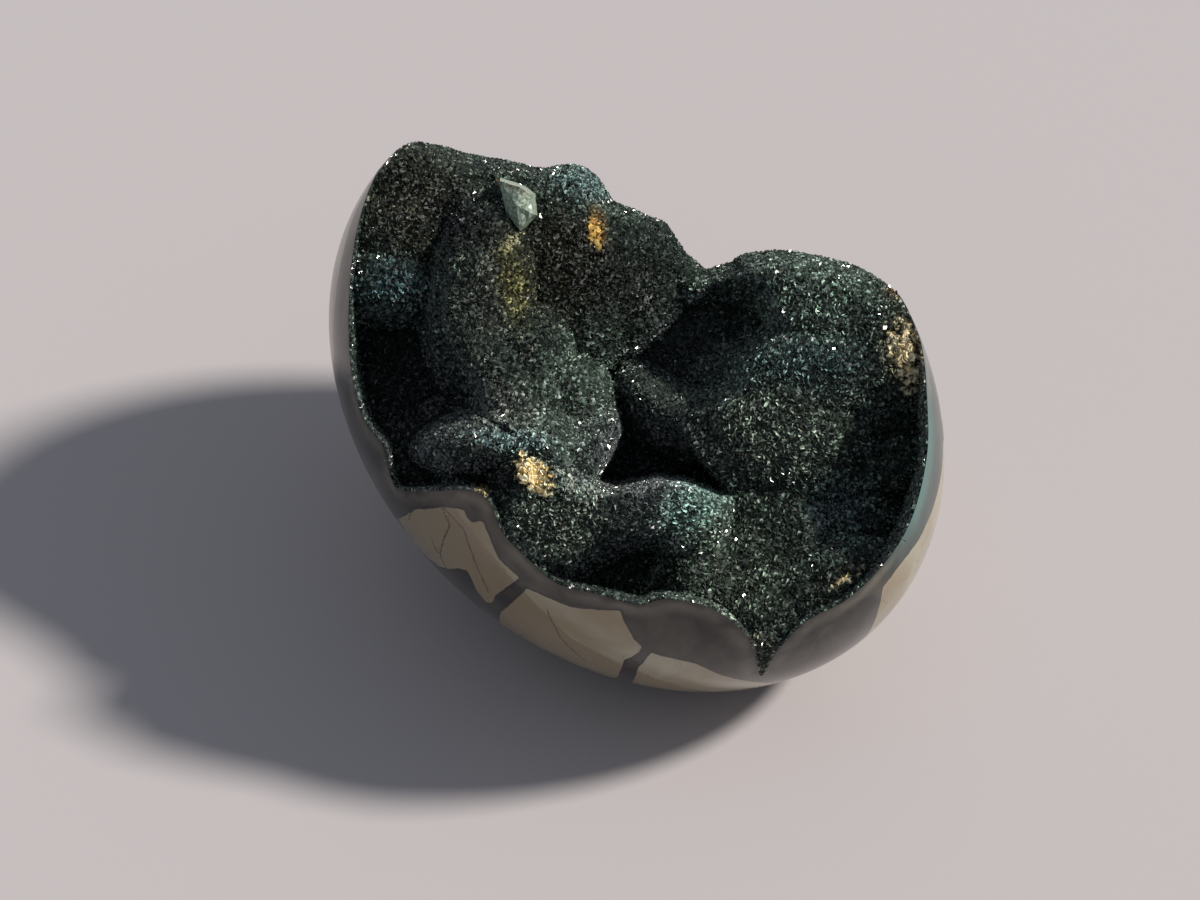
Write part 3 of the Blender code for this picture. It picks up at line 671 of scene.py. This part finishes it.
def above_lining(places):
    """About how far outside the lining each place is, and the direction straight out of it."""
    across, up, out = places.T
    height = lining_height(across, up)
    slope_across = (lining_height(across + SLOPE_STEP, up) - height) / SLOPE_STEP
    slope_up = (lining_height(across, up + SLOPE_STEP) - height) / SLOPE_STEP
    length = np.sqrt(1.0 + slope_across**2 + slope_up**2)
    outward = np.stack((-slope_across, -slope_up, np.ones_like(up)), axis=1) / length[:, None]
    return (out - height) / length, outward


def onto_ovoid(places):
    reach = np.linalg.norm(places @ TO_SPHERE.T, axis=1)
    return places / reach[:, None] * (1.0 - FACET_INSET)


def onto_lining(places):
    distance, outward = above_lining(places)
    return places - np.clip(distance, -STEP_LIMIT, STEP_LIMIT)[:, None] * outward


def onto_foot(places):
    height = places @ TURN[2] + MIDDLE[2]
    return places - height[:, None] * TURN[2]


def onto_rim(places):
    """The nearest place on the opening's rim to each place, and how far off it is."""
    line = np.array(smooth_line(RIM))
    line = np.column_stack((line, ovoid_face(*line.T)))
    nearest = places.copy()
    least = np.full(len(places), np.inf)
    for start, run in zip(line, np.diff(line, axis=0)):
        share = np.clip((places - start) @ run / (run @ run), 0.0, 1.0)
        spot = start + share[:, None] * run
        off = np.linalg.norm(spot - places, axis=1)
        closer = off < least
        nearest[closer] = spot[closer]
        least[closer] = off[closer]
    return nearest, least


def stone_net():
    """The stone's closed surface as a net of quads: each cell that the surface crosses gets one
    point, which then moves onto the ovoid, the lining, the foot, or the edge between two."""
    counts = [round(2.0 * half / GRID_PITCH) for half in GRID_HALF]
    lines = [np.arange(count + 1) * GRID_PITCH - half for count, half in zip(counts, GRID_HALF)]
    across, up = np.meshgrid(lines[0], lines[1], indexing="ij")
    lining = lining_height(across.ravel(), up.ravel()).reshape(across.shape)
    corners = np.stack(np.meshgrid(*lines, indexing="ij"), axis=-1)
    fields = np.stack((
        above_ovoid(corners),
        lines[2][None, None, :] - lining[:, :, None],
        -(corners @ TURN[2] + MIDDLE[2]),
    ))
    outside = fields.max(axis=0)
    solid = outside < 0.0

    # The cells with corners on both sides of the surface.
    around = np.zeros(counts, int)
    for offset in np.ndindex(2, 2, 2):
        window = tuple(slice(o, o + c) for o, c in zip(offset, counts))
        around += solid[window]
    crossed = (around > 0) & (around < 8)
    cell_number = np.full(crossed.shape, -1)
    cell_number[crossed] = np.arange(crossed.sum())
    cells = np.argwhere(crossed)

    # Each point starts at the mean of the places where the surface crosses the cell's edges.
    total = np.zeros((len(cells), 3))
    hits = np.zeros(len(cells))
    for axis in range(3):
        for offset in np.ndindex(2, 2):
            start = cells.copy()
            others = [a for a in range(3) if a != axis]
            start[:, others[0]] += offset[0]
            start[:, others[1]] += offset[1]
            end = start.copy()
            end[:, axis] += 1
            low = outside[tuple(start.T)]
            high = outside[tuple(end.T)]
            cut = (low < 0.0) != (high < 0.0)
            share = np.where(cut, low / np.where(cut, low - high, 1.0), 0.0)
            place = start.astype(float)
            place[:, axis] += share
            total[cut] += place[cut]
            hits[cut] += 1.0
    places = total / hits[:, None] * GRID_PITCH - np.array(GRID_HALF)

    # Which surfaces pass through each cell.
    meets = []
    for field in fields:
        lowest = np.full(len(cells), np.inf)
        highest = np.full(len(cells), -np.inf)
        for offset in np.ndindex(2, 2, 2):
            value = field[tuple((cells + offset).T)]
            lowest = np.minimum(lowest, value)
            highest = np.maximum(highest, value)
        meets.append((lowest < 0.0) & (highest >= 0.0))
    on_ovoid, on_lining, on_foot = meets

    # A quad for each grid edge that the surface crosses, facing away from the stone.
    quads = []
    for axis in range(3):
        others = [a for a in range(3) if a != axis]
        low = [1, 1, 1]
        low[axis] = 0
        size = [count - 1 for count in counts]
        size[axis] = counts[axis]
        window = tuple(slice(lo, lo + s) for lo, s in zip(low, size))
        ahead = list(window)
        ahead[axis] = slice(1, counts[axis] + 1)
        first = solid[window]
        second = solid[tuple(ahead)]
        edges = np.argwhere(first != second) + low
        from_solid = solid[tuple(edges.T)]
        ring = []
        for step in ((-1, -1), (0, -1), (0, 0), (-1, 0)):
            cell = edges.copy()
            cell[:, others[0]] += step[0]
            cell[:, others[1]] += step[1]
            ring.append(cell_number[tuple(cell.T)])
        ring = np.stack(ring, axis=1)
        flip = from_solid != (axis != 1)
        ring[flip] = ring[flip][:, ::-1]
        quads.append(ring)
    return places, np.concatenate(quads), on_ovoid, on_lining, on_foot


def settle(places, on_ovoid, on_lining, on_foot):
    """Moves the net's points onto their surfaces. Says which are polished and which on an edge."""
    nearer = above_ovoid(places) >= above_lining(places)[0]
    polished = on_ovoid & (nearer | ~on_lining)
    settled = places.copy()
    polish_only = polished & ~on_foot
    lining_only = ~polished & ~on_foot
    settled[polish_only] = onto_ovoid(settled[polish_only])
    # Points of the steep wall below the rim that are a little too far out move in under the rim.
    across, up, out = settled.T
    inside = depth_inside(across, up, OPENING)
    slopes = [
        (depth_inside(across + step_across, up + step_up, OPENING) - inside) / SLOPE_STEP
        for step_across, step_up in ((SLOPE_STEP, 0.0), (0.0, SLOPE_STEP))
    ]
    below = np.clip(ovoid_face(across, up) - out, 0.0, None) / RIM_WALL_STEEPNESS
    wall = lining_only & ~on_ovoid & (inside < 0.0) & (inside > -RIM_REACH * GRID_PITCH)
    for axis, slope in enumerate(slopes):
        settled[wall, axis] += ((below - inside) * slope)[wall]
    for _ in range(SURFACE_STEPS):
        settled[lining_only] = onto_lining(settled[lining_only])
    edge = on_ovoid & on_lining & ~on_foot
    on_edge = places[edge]
    for _ in range(2 * SURFACE_STEPS):
        on_edge = onto_ovoid(onto_lining(on_edge))
    moved = np.linalg.norm(on_edge - places[edge], axis=1)
    on_rim, off = onto_rim(places[edge])
    beside = off < RIM_REACH * GRID_PITCH
    on_edge[beside] = onto_ovoid(on_rim[beside])
    near = beside | (moved < GRID_PITCH)
    index = np.flatnonzero(edge)[near]
    settled[index] = on_edge[near]
    edge[:] = False
    edge[index] = True
    settled[on_foot] = onto_foot(settled[on_foot])
    # The foot's edge: on the ovoid and on the foot at once.
    crease = on_foot & on_ovoid
    on_crease = settled[crease]
    for _ in range(FOOT_STEPS):
        on_crease = onto_foot(onto_ovoid(on_crease))
    moved = np.linalg.norm(on_crease - settled[crease], axis=1)
    near = moved < FOOT_REACH * GRID_PITCH
    settled[np.flatnonzero(crease)[near]] = on_crease[near]
    return settled, polished | on_foot, edge


def make_mesh(name, places, faces):
    mesh = bpy.data.meshes.new(name)
    mesh.from_pydata(places.tolist(), [], faces)
    mesh.update()
    return mesh


def add_object(name, data):
    obj = bpy.data.objects.new(name, data)
    bpy.context.scene.collection.objects.link(obj)
    return obj


def add_numbers(mesh, name, values):
    attribute = mesh.attributes.new(name, "FLOAT", "POINT")
    attribute.data.foreach_set("value", np.asarray(values, np.float32))


def add_colors(mesh, name, values):
    attribute = mesh.attributes.new(name, "FLOAT_COLOR", "POINT")
    full = np.concatenate((values, np.ones((len(values), 1))), axis=1)
    attribute.data.foreach_set("color", full.astype(np.float32).ravel())


def bearing_map(places):
    """Each place's direction from the ovoid's middle, drawn flat: straight out of the opening is
    the middle, and the distance from it is the angle in degrees."""
    sphere = places @ TO_SPHERE.T
    sphere /= np.linalg.norm(sphere, axis=1)[:, None]
    reach = np.degrees(np.arccos(np.clip(sphere[:, 2], -1.0, 1.0)))
    bearing = np.arctan2(sphere[:, 1], sphere[:, 0])
    return reach * np.cos(bearing), reach * np.sin(bearing)


def flat_line(points):
    """Points given by bearing and angle, drawn flat as bearing_map draws places."""
    return [
        reach * np.array((math.cos(math.radians(bearing)), math.sin(math.radians(bearing))))
        for bearing, reach in points
    ]


def patch_depth(places):
    """How far inside one of the traced patches, and inside one of the other patches, each place
    on the polished face is, in millimetres."""
    right, ahead = bearing_map(places)
    depth = np.full(len(places), -np.inf)
    for corners in PATCHES.values():
        depth = np.maximum(depth, depth_inside(right, ahead, flat_line(corners)))
    depth *= DEGREE_SIZE
    chance = np.random.default_rng(PATCH_DRAW_SEED)
    seeds = []
    while len(seeds) < PATCH_SEEDS:
        seed = chance.normal(size=3)
        seed /= np.linalg.norm(seed)
        if all(seed @ other < MOST_ALIKE for other in seeds):
            seeds.append(seed)
        elif chance.uniform() < GIVE_UP_CHANCE:
            break
    seeds = np.array(seeds)
    sphere = places @ TO_SPHERE.T
    waves = sphere @ chance.normal(size=(3, 3)) * BEND_PITCH
    sphere = sphere + np.sin(waves + chance.uniform(0, BEND_SHIFTS, 3)) * BEND_DEPTH
    nearness = sphere @ seeds.T
    order = np.argsort(-nearness, axis=1)
    first = seeds[order[:, 0]]
    second = seeds[order[:, 1]]
    apart = np.linalg.norm(first - second, axis=1)
    beside = np.einsum("ij,ij->i", sphere, first - second) / apart * SHORT_HALF
    width = chance.uniform(*VEIN_HALF_WIDTH, (len(seeds), len(seeds)))
    width = 0.5 * (width + width.T)
    cells = beside - width[order[:, 0], order[:, 1]]
    cells = np.minimum(cells, -depth - 2.0 * VEIN_HALF_WIDTH[0])
    cells = np.minimum(cells, (np.hypot(right, ahead) - TRACED_REACH) * DEGREE_SIZE)
    return depth, cells


def line_distance(places, points):
    """The distance to a line through the points, above zero on its left side, and how far past
    its ends each place is, all in millimetres."""
    right, ahead = bearing_map(places)
    corners = flat_line(points)
    nearest = np.full(len(places), np.inf)
    signed = np.zeros(len(places))
    past = np.zeros(len(places))
    for start, end in zip(corners, corners[1:]):
        run = end - start
        length = np.linalg.norm(run)
        along = ((right - start[0]) * run[0] + (ahead - start[1]) * run[1]) / length
        side = (run[0] * (ahead - start[1]) - run[1] * (right - start[0])) / length
        over = np.maximum(np.maximum(-along, along - length), 0.0)
        distance = np.hypot(side, over)
        closer = distance < nearest
        nearest[closer] = distance[closer]
        signed[closer] = np.copysign(distance, side)[closer]
        past[closer] = over[closer]
    return signed * DEGREE_SIZE, past * DEGREE_SIZE


def patch_marks(places):
    """How far inside its brown half each place of a patch is, and for the nearest crack its
    distance with a sign, how far past its ends the place is, and the plain distance."""
    tone = -line_distance(places, TONE_LINE)[0]
    crack = np.full((len(places), 3), np.inf)
    for points in CRACKS:
        signed, past = line_distance(places, points)
        closer = np.abs(signed) < crack[:, 2]
        found = np.stack((signed, past, np.abs(signed)), axis=1)
        crack[closer] = found[closer]
    return tone, crack


def make_shader(name, roughness):
    """A material, its node tree and its Principled shader."""
    material = bpy.data.materials.new(name)
    material.use_nodes = True
    tree = material.node_tree
    shader = tree.nodes["Principled BSDF"]
    shader.inputs["Roughness"].default_value = roughness
    return material, tree, shader


def add_node(tree, kind, links=None, **settings):
    """Adds a node. Links maps an input's name or number to a socket or a value."""
    node = tree.nodes.new(kind)
    for key, value in settings.items():
        setattr(node, key, value)
    for key, value in (links or {}).items():
        if isinstance(value, bpy.types.NodeSocket):
            tree.links.new(value, node.inputs[key])
        else:
            node.inputs[key].default_value = value
    return node


def add_attribute(tree, name, output="Fac"):
    return add_node(tree, "ShaderNodeAttribute", attribute_name=name).outputs[output]


def add_math(tree, operation, first, second=0.0, third=0.0):
    links = {0: first, 1: second, 2: third}
    return add_node(tree, "ShaderNodeMath", links, operation=operation).outputs[0]


def add_mix(tree, share, first, second):
    """A blend of two colours. A plain colour is three numbers."""
    first, second = (
        color if isinstance(color, bpy.types.NodeSocket) else (*color, 1.0)
        for color in (first, second)
    )
    links = {0: share, 6: first, 7: second}
    return add_node(tree, "ShaderNodeMix", links, data_type="RGBA").outputs[2]


def add_range(tree, value, low, high, to_low=0.0, to_high=1.0):
    links = {"Value": value, "From Min": low, "From Max": high, "To Min": to_low, "To Max": to_high}
    return add_node(tree, "ShaderNodeMapRange", links).outputs["Result"]


def add_noise(tree, size, detail=3.0, distortion=0.0):
    """Noise whose lumps are about this many millimetres across."""
    place = add_node(tree, "ShaderNodeTexCoord").outputs["Object"]
    links = {"Vector": place, "Scale": 1.0 / (size * MM), "Detail": detail,
             "Distortion": distortion}
    return add_node(tree, "ShaderNodeTexNoise", links).outputs["Fac"]


def add_pattern(tree, name):
    noise, span = PATTERNS[name]
    return add_range(tree, add_noise(tree, *noise), *span)


def add_wander(tree, name, start=None):
    """Noise that moves a line or an edge: to both sides of it, or up from a start."""
    size, detail, reach = WANDERS[name]
    if start is None:
        start = -0.5 * reach
    return add_math(tree, "MULTIPLY_ADD", add_noise(tree, size, detail), reach, start)


def polished_material():
    """Pale patches, darker calcite veins with faint growth bands, a few hairline cracks, and a
    painted sheen on the right rim.
    """
    material, tree, shader = make_shader("polished septarian stone", POLISH_ROUGHNESS)
    patch, cell = (
        add_math(tree, "ADD", add_attribute(tree, name), add_wander(tree, name))
        for name in ("patch", "cell")
    )
    pale = add_math(tree, "MAXIMUM", patch, cell)
    pale_share = add_range(tree, pale, *FADES["patch"])

    # The pale stone: warm grey, with browner stains and hairline cracks.
    cream = add_mix(tree, add_pattern(tree, "stain"), CREAM, CREAM_STAINED)
    cream = add_mix(tree, add_pattern(tree, "mottle"), cream, CREAM_DULL)
    place = add_node(tree, "ShaderNodeTexCoord").outputs["Object"]
    links = {"Vector": place, "Scale": FINE_BEND_SCALE, "Detail": FINE_BEND_DETAIL}
    links = {0: add_node(tree, "ShaderNodeTexNoise", links).outputs["Color"], 1: (FINE_BEND,) * 3}
    moved = add_node(tree, "ShaderNodeVectorMath", links, operation="MULTIPLY").outputs[0]
    moved = add_node(tree, "ShaderNodeVectorMath", {0: place, 1: moved}).outputs[0]
    links = {"Vector": moved, "Scale": FINE_CRACK_SCALE}
    crack = add_node(tree, "ShaderNodeTexVoronoi", links, feature="DISTANCE_TO_EDGE")
    crack_share = add_range(tree, crack.outputs["Distance"], *FADES["fine crack"])
    cream = add_mix(tree, crack_share, cream, CRACK)
    tone = add_wander(tree, "tone", add_attribute(tree, "tone"))
    cream = add_mix(tree, add_range(tree, tone, *FADES["tone"]), cream, CREAM_BROWN)
    line = add_attribute(tree, "crack", "Vector")
    line = add_node(tree, "ShaderNodeSeparateXYZ", {0: line}).outputs
    beside = add_math(tree, "ADD", line[0], add_wander(tree, "crack"))
    beside = add_math(tree, "ABSOLUTE", beside)
    crack_share = add_range(tree, beside, *FADES["crack"])
    for output in (line[1], line[2]):
        shown = add_range(tree, output, *FADES["crack end"])
        crack_share = add_math(tree, "MULTIPLY", crack_share, shown)
    cream = add_mix(tree, crack_share, cream, CRACK)

    # The calcite: brown grey, with bands that follow the edge of the opening and of the patches.
    wave = add_wander(tree, "band", add_attribute(tree, "rim"))
    band = add_range(tree, wave, *FADES["band"])
    band = add_math(tree, "MULTIPLY", band, add_range(tree, wave, *FADES["band end"]))
    band = add_math(tree, "MULTIPLY", band, add_pattern(tree, "broken band"))
    calcite = add_mix(tree, add_pattern(tree, "cloud"), CALCITE_DARK, CALCITE)
    calcite = add_mix(tree, band, calcite, CALCITE_PALE)
    border = add_range(tree, add_math(tree, "ABSOLUTE", pale), *FADES["border"])
    calcite = add_mix(tree, border, calcite, CALCITE_DARK)
    # Painted sheen: a blue green gleam along the polished edge of the right rim.
    calcite = add_mix(tree, add_attribute(tree, "painted_sheen"), calcite, CALCITE_SHEEN)

    tree.links.new(add_mix(tree, pale_share, calcite, cream), shader.inputs["Base Color"])
    shader.inputs["Specular IOR Level"].default_value = POLISH_SPECULAR
    shader.inputs["Coat Weight"].default_value = POLISH_COAT
    shader.inputs["Coat Roughness"].default_value = POLISH_COAT_ROUGHNESS
    return material


def matrix_material():
    """The dark druse that the crystals stand on."""
    material, tree, shader = make_shader("druse under the crystals", MATRIX_ROUGHNESS)
    color = add_mix(tree, add_noise(tree, MATRIX_MOTTLE), MATRIX_DARK, MATRIX_LIGHT)
    tree.links.new(color, shader.inputs["Base Color"])
    return material


def crystal_material():
    """Small glassy crystals. Each has a colour of its own."""
    material, tree, shader = make_shader("dark green crystals", CRYSTAL_ROUGHNESS)
    links = {0: add_attribute(tree, "tint", "Color"), 1: add_pattern(tree, "crystal grain")}
    color = add_node(tree, "ShaderNodeVectorMath", links, operation="MULTIPLY").outputs[0]
    tree.links.new(color, shader.inputs["Base Color"])
    shader.inputs["IOR"].default_value = CRYSTAL_IOR
    return material


def pale_material():
    """The broken crystal: pale green, with streaks and a rusty upper edge."""
    material, tree, shader = make_shader("pale green crystal", PALE_CRYSTAL_ROUGHNESS)
    color = add_mix(tree, add_pattern(tree, "crystal streak"), PALE_GREEN, PALE_GREEN_DARK)
    rust = add_pattern(tree, "crystal rust")
    rust = add_math(tree, "MULTIPLY", rust, add_attribute(tree, "stain"))
    color = add_mix(tree, rust, color, PALE_CRYSTAL_STAIN)
    tree.links.new(color, shader.inputs["Base Color"])
    return material


def stone_piece(settled, quads, polished, edge):
    """The polished stone, with the surface that the crystals stand on, as one closed mesh."""
    mesh = make_mesh("polished_stone", to_model(settled), quads.tolist())
    kinds = np.stack((polished & ~edge, ~polished & ~edge), axis=1)
    votes = kinds[quads].sum(axis=1)
    middles = settled[quads].mean(axis=1)
    # By the rim's two ends a quad that lies on the ovoid is polished, whatever its corners are.
    off_ends = np.minimum(*(
        np.hypot(middles[:, 0] - end[0], middles[:, 1] - end[1]) for end in (RIM[0], RIM[-1])
    ))
    on_face = (above_ovoid(middles) > -ON_FACE) & (off_ends < RIM_END_REACH)
    lining_quad = (votes[:, 1] > votes[:, 0]) & ~on_face
    for material in (polished_material(), matrix_material()):
        mesh.materials.append(material)
    mesh.polygons.foreach_set("material_index", lining_quad.astype(np.int32))
    mesh.shade_smooth()
    mesh.set_sharp_from_angle(angle=SHARP_ANGLE)

    tree = KDTree(int(edge.sum()))
    for index, place in enumerate(settled[edge]):
        tree.insert(place, index)
    tree.balance()
    rim = np.array([tree.find(place)[2] for place in settled])
    patch, cell = patch_depth(settled)
    cell = np.minimum(cell, rim - RIM_BAND)
    # Painted sheen along the right rim, fading away from the rim.
    off_sheen = (settled[:, :2] - np.array(SHEEN_AT)) / np.array(SHEEN_SPREAD)
    painted_sheen = SHEEN_STRENGTH * np.exp(-(off_sheen**2).sum(axis=1))
    painted_sheen = np.clip(painted_sheen, 0.0, 1.0) * np.exp(-rim / SHEEN_REACH)
    tone, crack = patch_marks(settled)
    for name, values in (
        ("patch", patch), ("cell", cell), ("rim", rim), ("painted_sheen", painted_sheen), ("tone", tone),
    ):
        add_numbers(mesh, name, values)
    vectors = mesh.attributes.new("crack", "FLOAT_VECTOR", "POINT")
    vectors.data.foreach_set("vector", crack.astype(np.float32).ravel())
    obj = add_object("polished_stone", mesh)
    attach(obj, "root")
    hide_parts("nodule")
    return lining_quad


def crystal_tints(places, chance):
    """A colour for each crystal: mostly near black green, with paler ones among them, the blue
    green, brown and rusty places of the hollow, and painted shade, painted shadow, painted fill
    light and painted glints in some places."""
    across, up = places.T[:2]
    hue = np.tile(np.array(CRYSTAL_GREEN), (len(places), 1))
    pale_chance = np.full(len(places), PALE_SHARE)
    for *ellipse, color, strength, paler in TINTS.values():
        along, beside = in_ellipse(across, up, ellipse)
        share = strength * np.exp(-(along**2 + beside**2) ** TINT_SHARPNESS)
        uneven = TINT_UNEVEN * share * chance.normal(size=len(places))
        share = np.clip(share + uneven, 0.0, 1.0)
        hue += share[:, None] * (np.array(color) - hue)
        pale_chance += share * paler
    bright = chance.uniform(size=len(places)) < pale_chance
    lightness = np.where(
        bright,
        chance.uniform(*PALE_LIGHTNESS, len(places)),
        DARK_LIGHTNESS * np.exp(DARK_SPREAD * chance.normal(size=len(places))),
    )
    return hue * lightness[:, None]


def cluster_roots(chance):
    """The places, radii and colours of the larger crystals."""
    places = []
    radii = []
    colors = []
    for cluster in CLUSTERS.values():
        at_across, at_up, half_across, half_up, turn, count, size, first, second = cluster
        turn = math.radians(turn)
        along, beside = chance.normal(size=(2, count)) * CLUSTER_SPREAD
        along *= half_across
        beside *= half_up
        across = at_across + along * math.cos(turn) - beside * math.sin(turn)
        up = at_up + along * math.sin(turn) + beside * math.cos(turn)
        places.append(np.stack((across, up, lining_height(across, up)), axis=1))
        radii.append(chance.uniform(*size, count))
        share = chance.uniform(size=(count, 1))
        color = np.array(first) * (1.0 - share) + np.array(second) * share
        colors.append(color * chance.uniform(*CLUSTER_LIGHTNESS, (count, 1)))
    places = np.concatenate(places)
    inside = depth_inside(places[:, 0], places[:, 1], OPENING) > CLUSTER_INSET
    inside &= depth_inside(places[:, 0], places[:, 1], PAST_FAR_EDGE) < -CLUSTER_INSET
    return places[inside], np.concatenate(radii)[inside], np.concatenate(colors)[inside]


def crystal_pieces(settled, quads, lining_quad):
    """The crystals, each a small flat-sided blade, spread evenly over the lining."""
    chance = np.random.default_rng(CRYSTAL_SEED)
    corners = settled[quads[lining_quad]]
    span = corners[:, 2] - corners[:, 0]
    other = corners[:, 3] - corners[:, 1]
    area = 0.5 * np.linalg.norm(np.cross(span, other), axis=1)
    wanted = np.floor(area * CRYSTALS_TO_AREA + chance.uniform(size=len(area))).astype(int)
    corners = np.repeat(corners, wanted, axis=0)
    first = chance.uniform(size=(len(corners), 1))
    second = chance.uniform(size=(len(corners), 1))
    low = corners[:, 0] * (1.0 - first) + corners[:, 1] * first
    high = corners[:, 3] * (1.0 - first) + corners[:, 2] * first
    roots = low * (1.0 - second) + high * second
    small = len(roots)
    larger, radius, colors = cluster_roots(chance)
    roots = np.concatenate((roots, larger))
    outward = above_lining(roots)[1]
    roots = onto_lining(roots)
    count = len(roots)
    tints = np.concatenate((crystal_tints(roots[:small], chance), colors))
    radius = np.concatenate((chance.uniform(*CRYSTAL_RADIUS, small), radius))[:, None]
    height = chance.uniform(*CRYSTAL_HEIGHT, (count, 1))
    height[small:] = CLUSTER_RISE * radius[small:]
    flat = chance.uniform(*CRYSTAL_FLATNESS, (count, 1))
    flat[small:] = 1.0

    # Each crystal's own axes: its point leans a little away from straight out of the lining.
    spin = chance.normal(size=(count, 3))
    spin -= (spin * outward).sum(axis=1)[:, None] * outward
    spin /= np.linalg.norm(spin, axis=1)[:, None]
    lean = np.tan(CRYSTAL_TILT) * np.sqrt(chance.uniform(size=(count, 1)))
    point = outward + lean * spin
    point /= np.linalg.norm(point, axis=1)[:, None]
    side = np.cross(point, chance.normal(size=(count, 3)))
    side /= np.linalg.norm(side, axis=1)[:, None]
    edge_on = np.cross(point, side)

    # A blade: four corners sunk into the lining, and the two ends of its upper edge.
    length = radius * side
    width = flat * radius * edge_on
    sunk = roots - CRYSTAL_ROOT * outward
    upper = roots + height * point
    places = np.stack((
        sunk + length + width, sunk - length + width, sunk - length - width,
        sunk + length - width, upper + EDGE_SHARE * length, upper - EDGE_SHARE * length,
    ), axis=1)
    reach = np.linalg.norm(places @ TO_SPHERE.T, axis=2)
    places /= np.maximum(reach + GROUND_OFF / SHORT_HALF, 1.0)[:, :, None]
    # Painted shade on each blade's sunk corners and painted light on its upper edge.
    tints = tints[:, None] * np.array(BLADE_PAINTED_SHADING)[:, None]

    four_sided = np.array(((0, 1, 5, 4), (2, 3, 4, 5), (0, 3, 2, 1)))
    three_sided = np.array(((3, 0, 4), (1, 2, 5)))
    material = crystal_material()
    size = places.shape[1]
    order = np.argsort(np.arctan2(roots[:, 1], roots[:, 0]), kind="stable")
    pieces = max(1, math.ceil(count / CRYSTALS_TO_PIECE))
    for number, chosen in enumerate(np.array_split(order, pieces), 1):
        name = f"druse_crystals_{number}"
        shifts = (np.arange(len(chosen)) * size)[:, None, None]
        faces = (four_sided + shifts).reshape(-1, 4).tolist()
        faces += (three_sided + shifts).reshape(-1, 3).tolist()
        mesh = make_mesh(name, to_model(places[chosen].reshape(-1, 3)), faces)
        add_colors(mesh, "tint", tints[chosen].reshape(-1, 3))
        mesh.materials.append(material)
        obj = add_object(name, mesh)
        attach(obj, "root")
        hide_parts("druzy_crust")


def pale_crystal():
    """The broken pale crystal: a block with a faceted face, chipped all over."""
    model = bmesh.new()
    face = np.array(PALE_CRYSTAL_FACE)
    root = np.array(PALE_CRYSTAL_ROOT)
    base = (face - face.mean(axis=0)) * PALE_CRYSTAL_SPREAD + root
    base[:, 2] = root[2]
    rings = [[model.verts.new(to_model(place)) for place in ring] for ring in (face, base)]
    crest = model.verts.new(to_model(np.array(PALE_CRYSTAL_CREST)))
    top, bottom = rings
    for index in range(len(top)):
        following = (index + 1) % len(top)
        model.faces.new((top[index], top[following], crest))
        model.faces.new((top[following], top[index], bottom[index], bottom[following]))
    model.faces.new(bottom)
    bmesh.ops.recalc_face_normals(model, faces=model.faces[:])
    bmesh.ops.subdivide_edges(model, edges=model.edges[:], cuts=CHIP_CUTS, use_grid_fill=True)
    bmesh.ops.triangulate(model, faces=model.faces[:])
    mesh = bpy.data.meshes.new("pale_crystal")
    model.to_mesh(mesh)
    model.free()
    chance = np.random.default_rng(CHIP_SEED)
    places = np.array([vert.co for vert in mesh.vertices])
    inward = places.mean(axis=0) - places
    inward /= np.linalg.norm(inward, axis=1)[:, None]
    places += inward * CHIP_DEPTH * MM * chance.uniform(size=(len(places), 1))
    mesh.vertices.foreach_set("co", places.astype(np.float32).ravel())
    mesh.update()
    across, up, out = ((places / MM - MIDDLE) @ TURN).T
    edge = STAIN_AT[1] + STAIN_SLOPE * (across - STAIN_AT[0])
    stain = np.clip(1.0 - (edge - up) / STAIN_REACH, 0.0, 1.0)
    stain *= np.clip(out / STAIN_DEPTH, 0.0, 1.0)
    add_numbers(mesh, "stain", stain)
    mesh.materials.append(pale_material())
    obj = add_object("pale_crystal", mesh)
    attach(obj, "root")


def make_floor():
    material, tree, shader = make_shader("floor", FLOOR_ROUGHNESS)
    shader.inputs["Base Color"].default_value = (*FLOOR_COLOR, 1.0)
    mesh = bpy.data.meshes.new("floor")
    half = FLOOR_HALF * MM
    mesh.from_pydata([(-half, -half, 0), (half, -half, 0), (half, half, 0), (-half, half, 0)],
                     [], [(0, 1, 2, 3)])
    mesh.materials.append(material)
    obj = add_object("floor", mesh)


def make_lights():
    """A key light from the far right, as in the photograph, and a cool soft light all round."""
    sun = bpy.data.lights.new("key", "SUN")
    sun.energy = KEY_STRENGTH
    sun.color = KEY_COLOR
    sun.angle = KEY_ANGLE
    obj = add_object("key", sun)
    toward = Vector(TURN @ np.array(SUN_TOWARD))
    obj.rotation_mode = "QUATERNION"
    obj.rotation_quaternion = toward.to_track_quat("Z", "Y")
    world = bpy.data.worlds.new("soft light")
    world.use_nodes = True
    background = world.node_tree.nodes["Background"]
    background.inputs["Color"].default_value = (*SOFT_COLOR, 1.0)
    background.inputs["Strength"].default_value = SOFT_STRENGTH
    bpy.context.scene.world = world


def make_camera():
    camera = bpy.data.cameras.new("camera")
    camera.sensor_width = CAMERA_SENSOR
    camera.lens = CAMERA_LENS
    camera.clip_start, camera.clip_end = CAMERA_CLIP
    obj = add_object("camera", camera)
    seat = to_model(np.array((0.0, 0.0, CAMERA_DISTANCE)))
    target = to_model(np.array((*CAMERA_PAST, 0.0)))
    obj.location = Vector(seat)
    back = Vector(seat - target).normalized()
    across = Vector(TURN[:, 0])
    up = back.cross(across).normalized()
    across = up.cross(back)
    obj.rotation_mode = "QUATERNION"
    obj.rotation_quaternion = Matrix((across, up, back)).transposed().to_quaternion()
    bpy.context.scene.camera = obj


def main():
    bpy.context.scene.view_settings.view_transform = "Standard"
    places, quads, on_ovoid, on_lining, on_foot = stone_net()
    settled, polished, edge = settle(places, on_ovoid, on_lining, on_foot)
    lining_quad = stone_piece(settled, quads, polished, edge)
    crystal_pieces(settled, quads, lining_quad)
    pale_crystal()
    make_floor()
    make_lights()
    make_camera()


main()
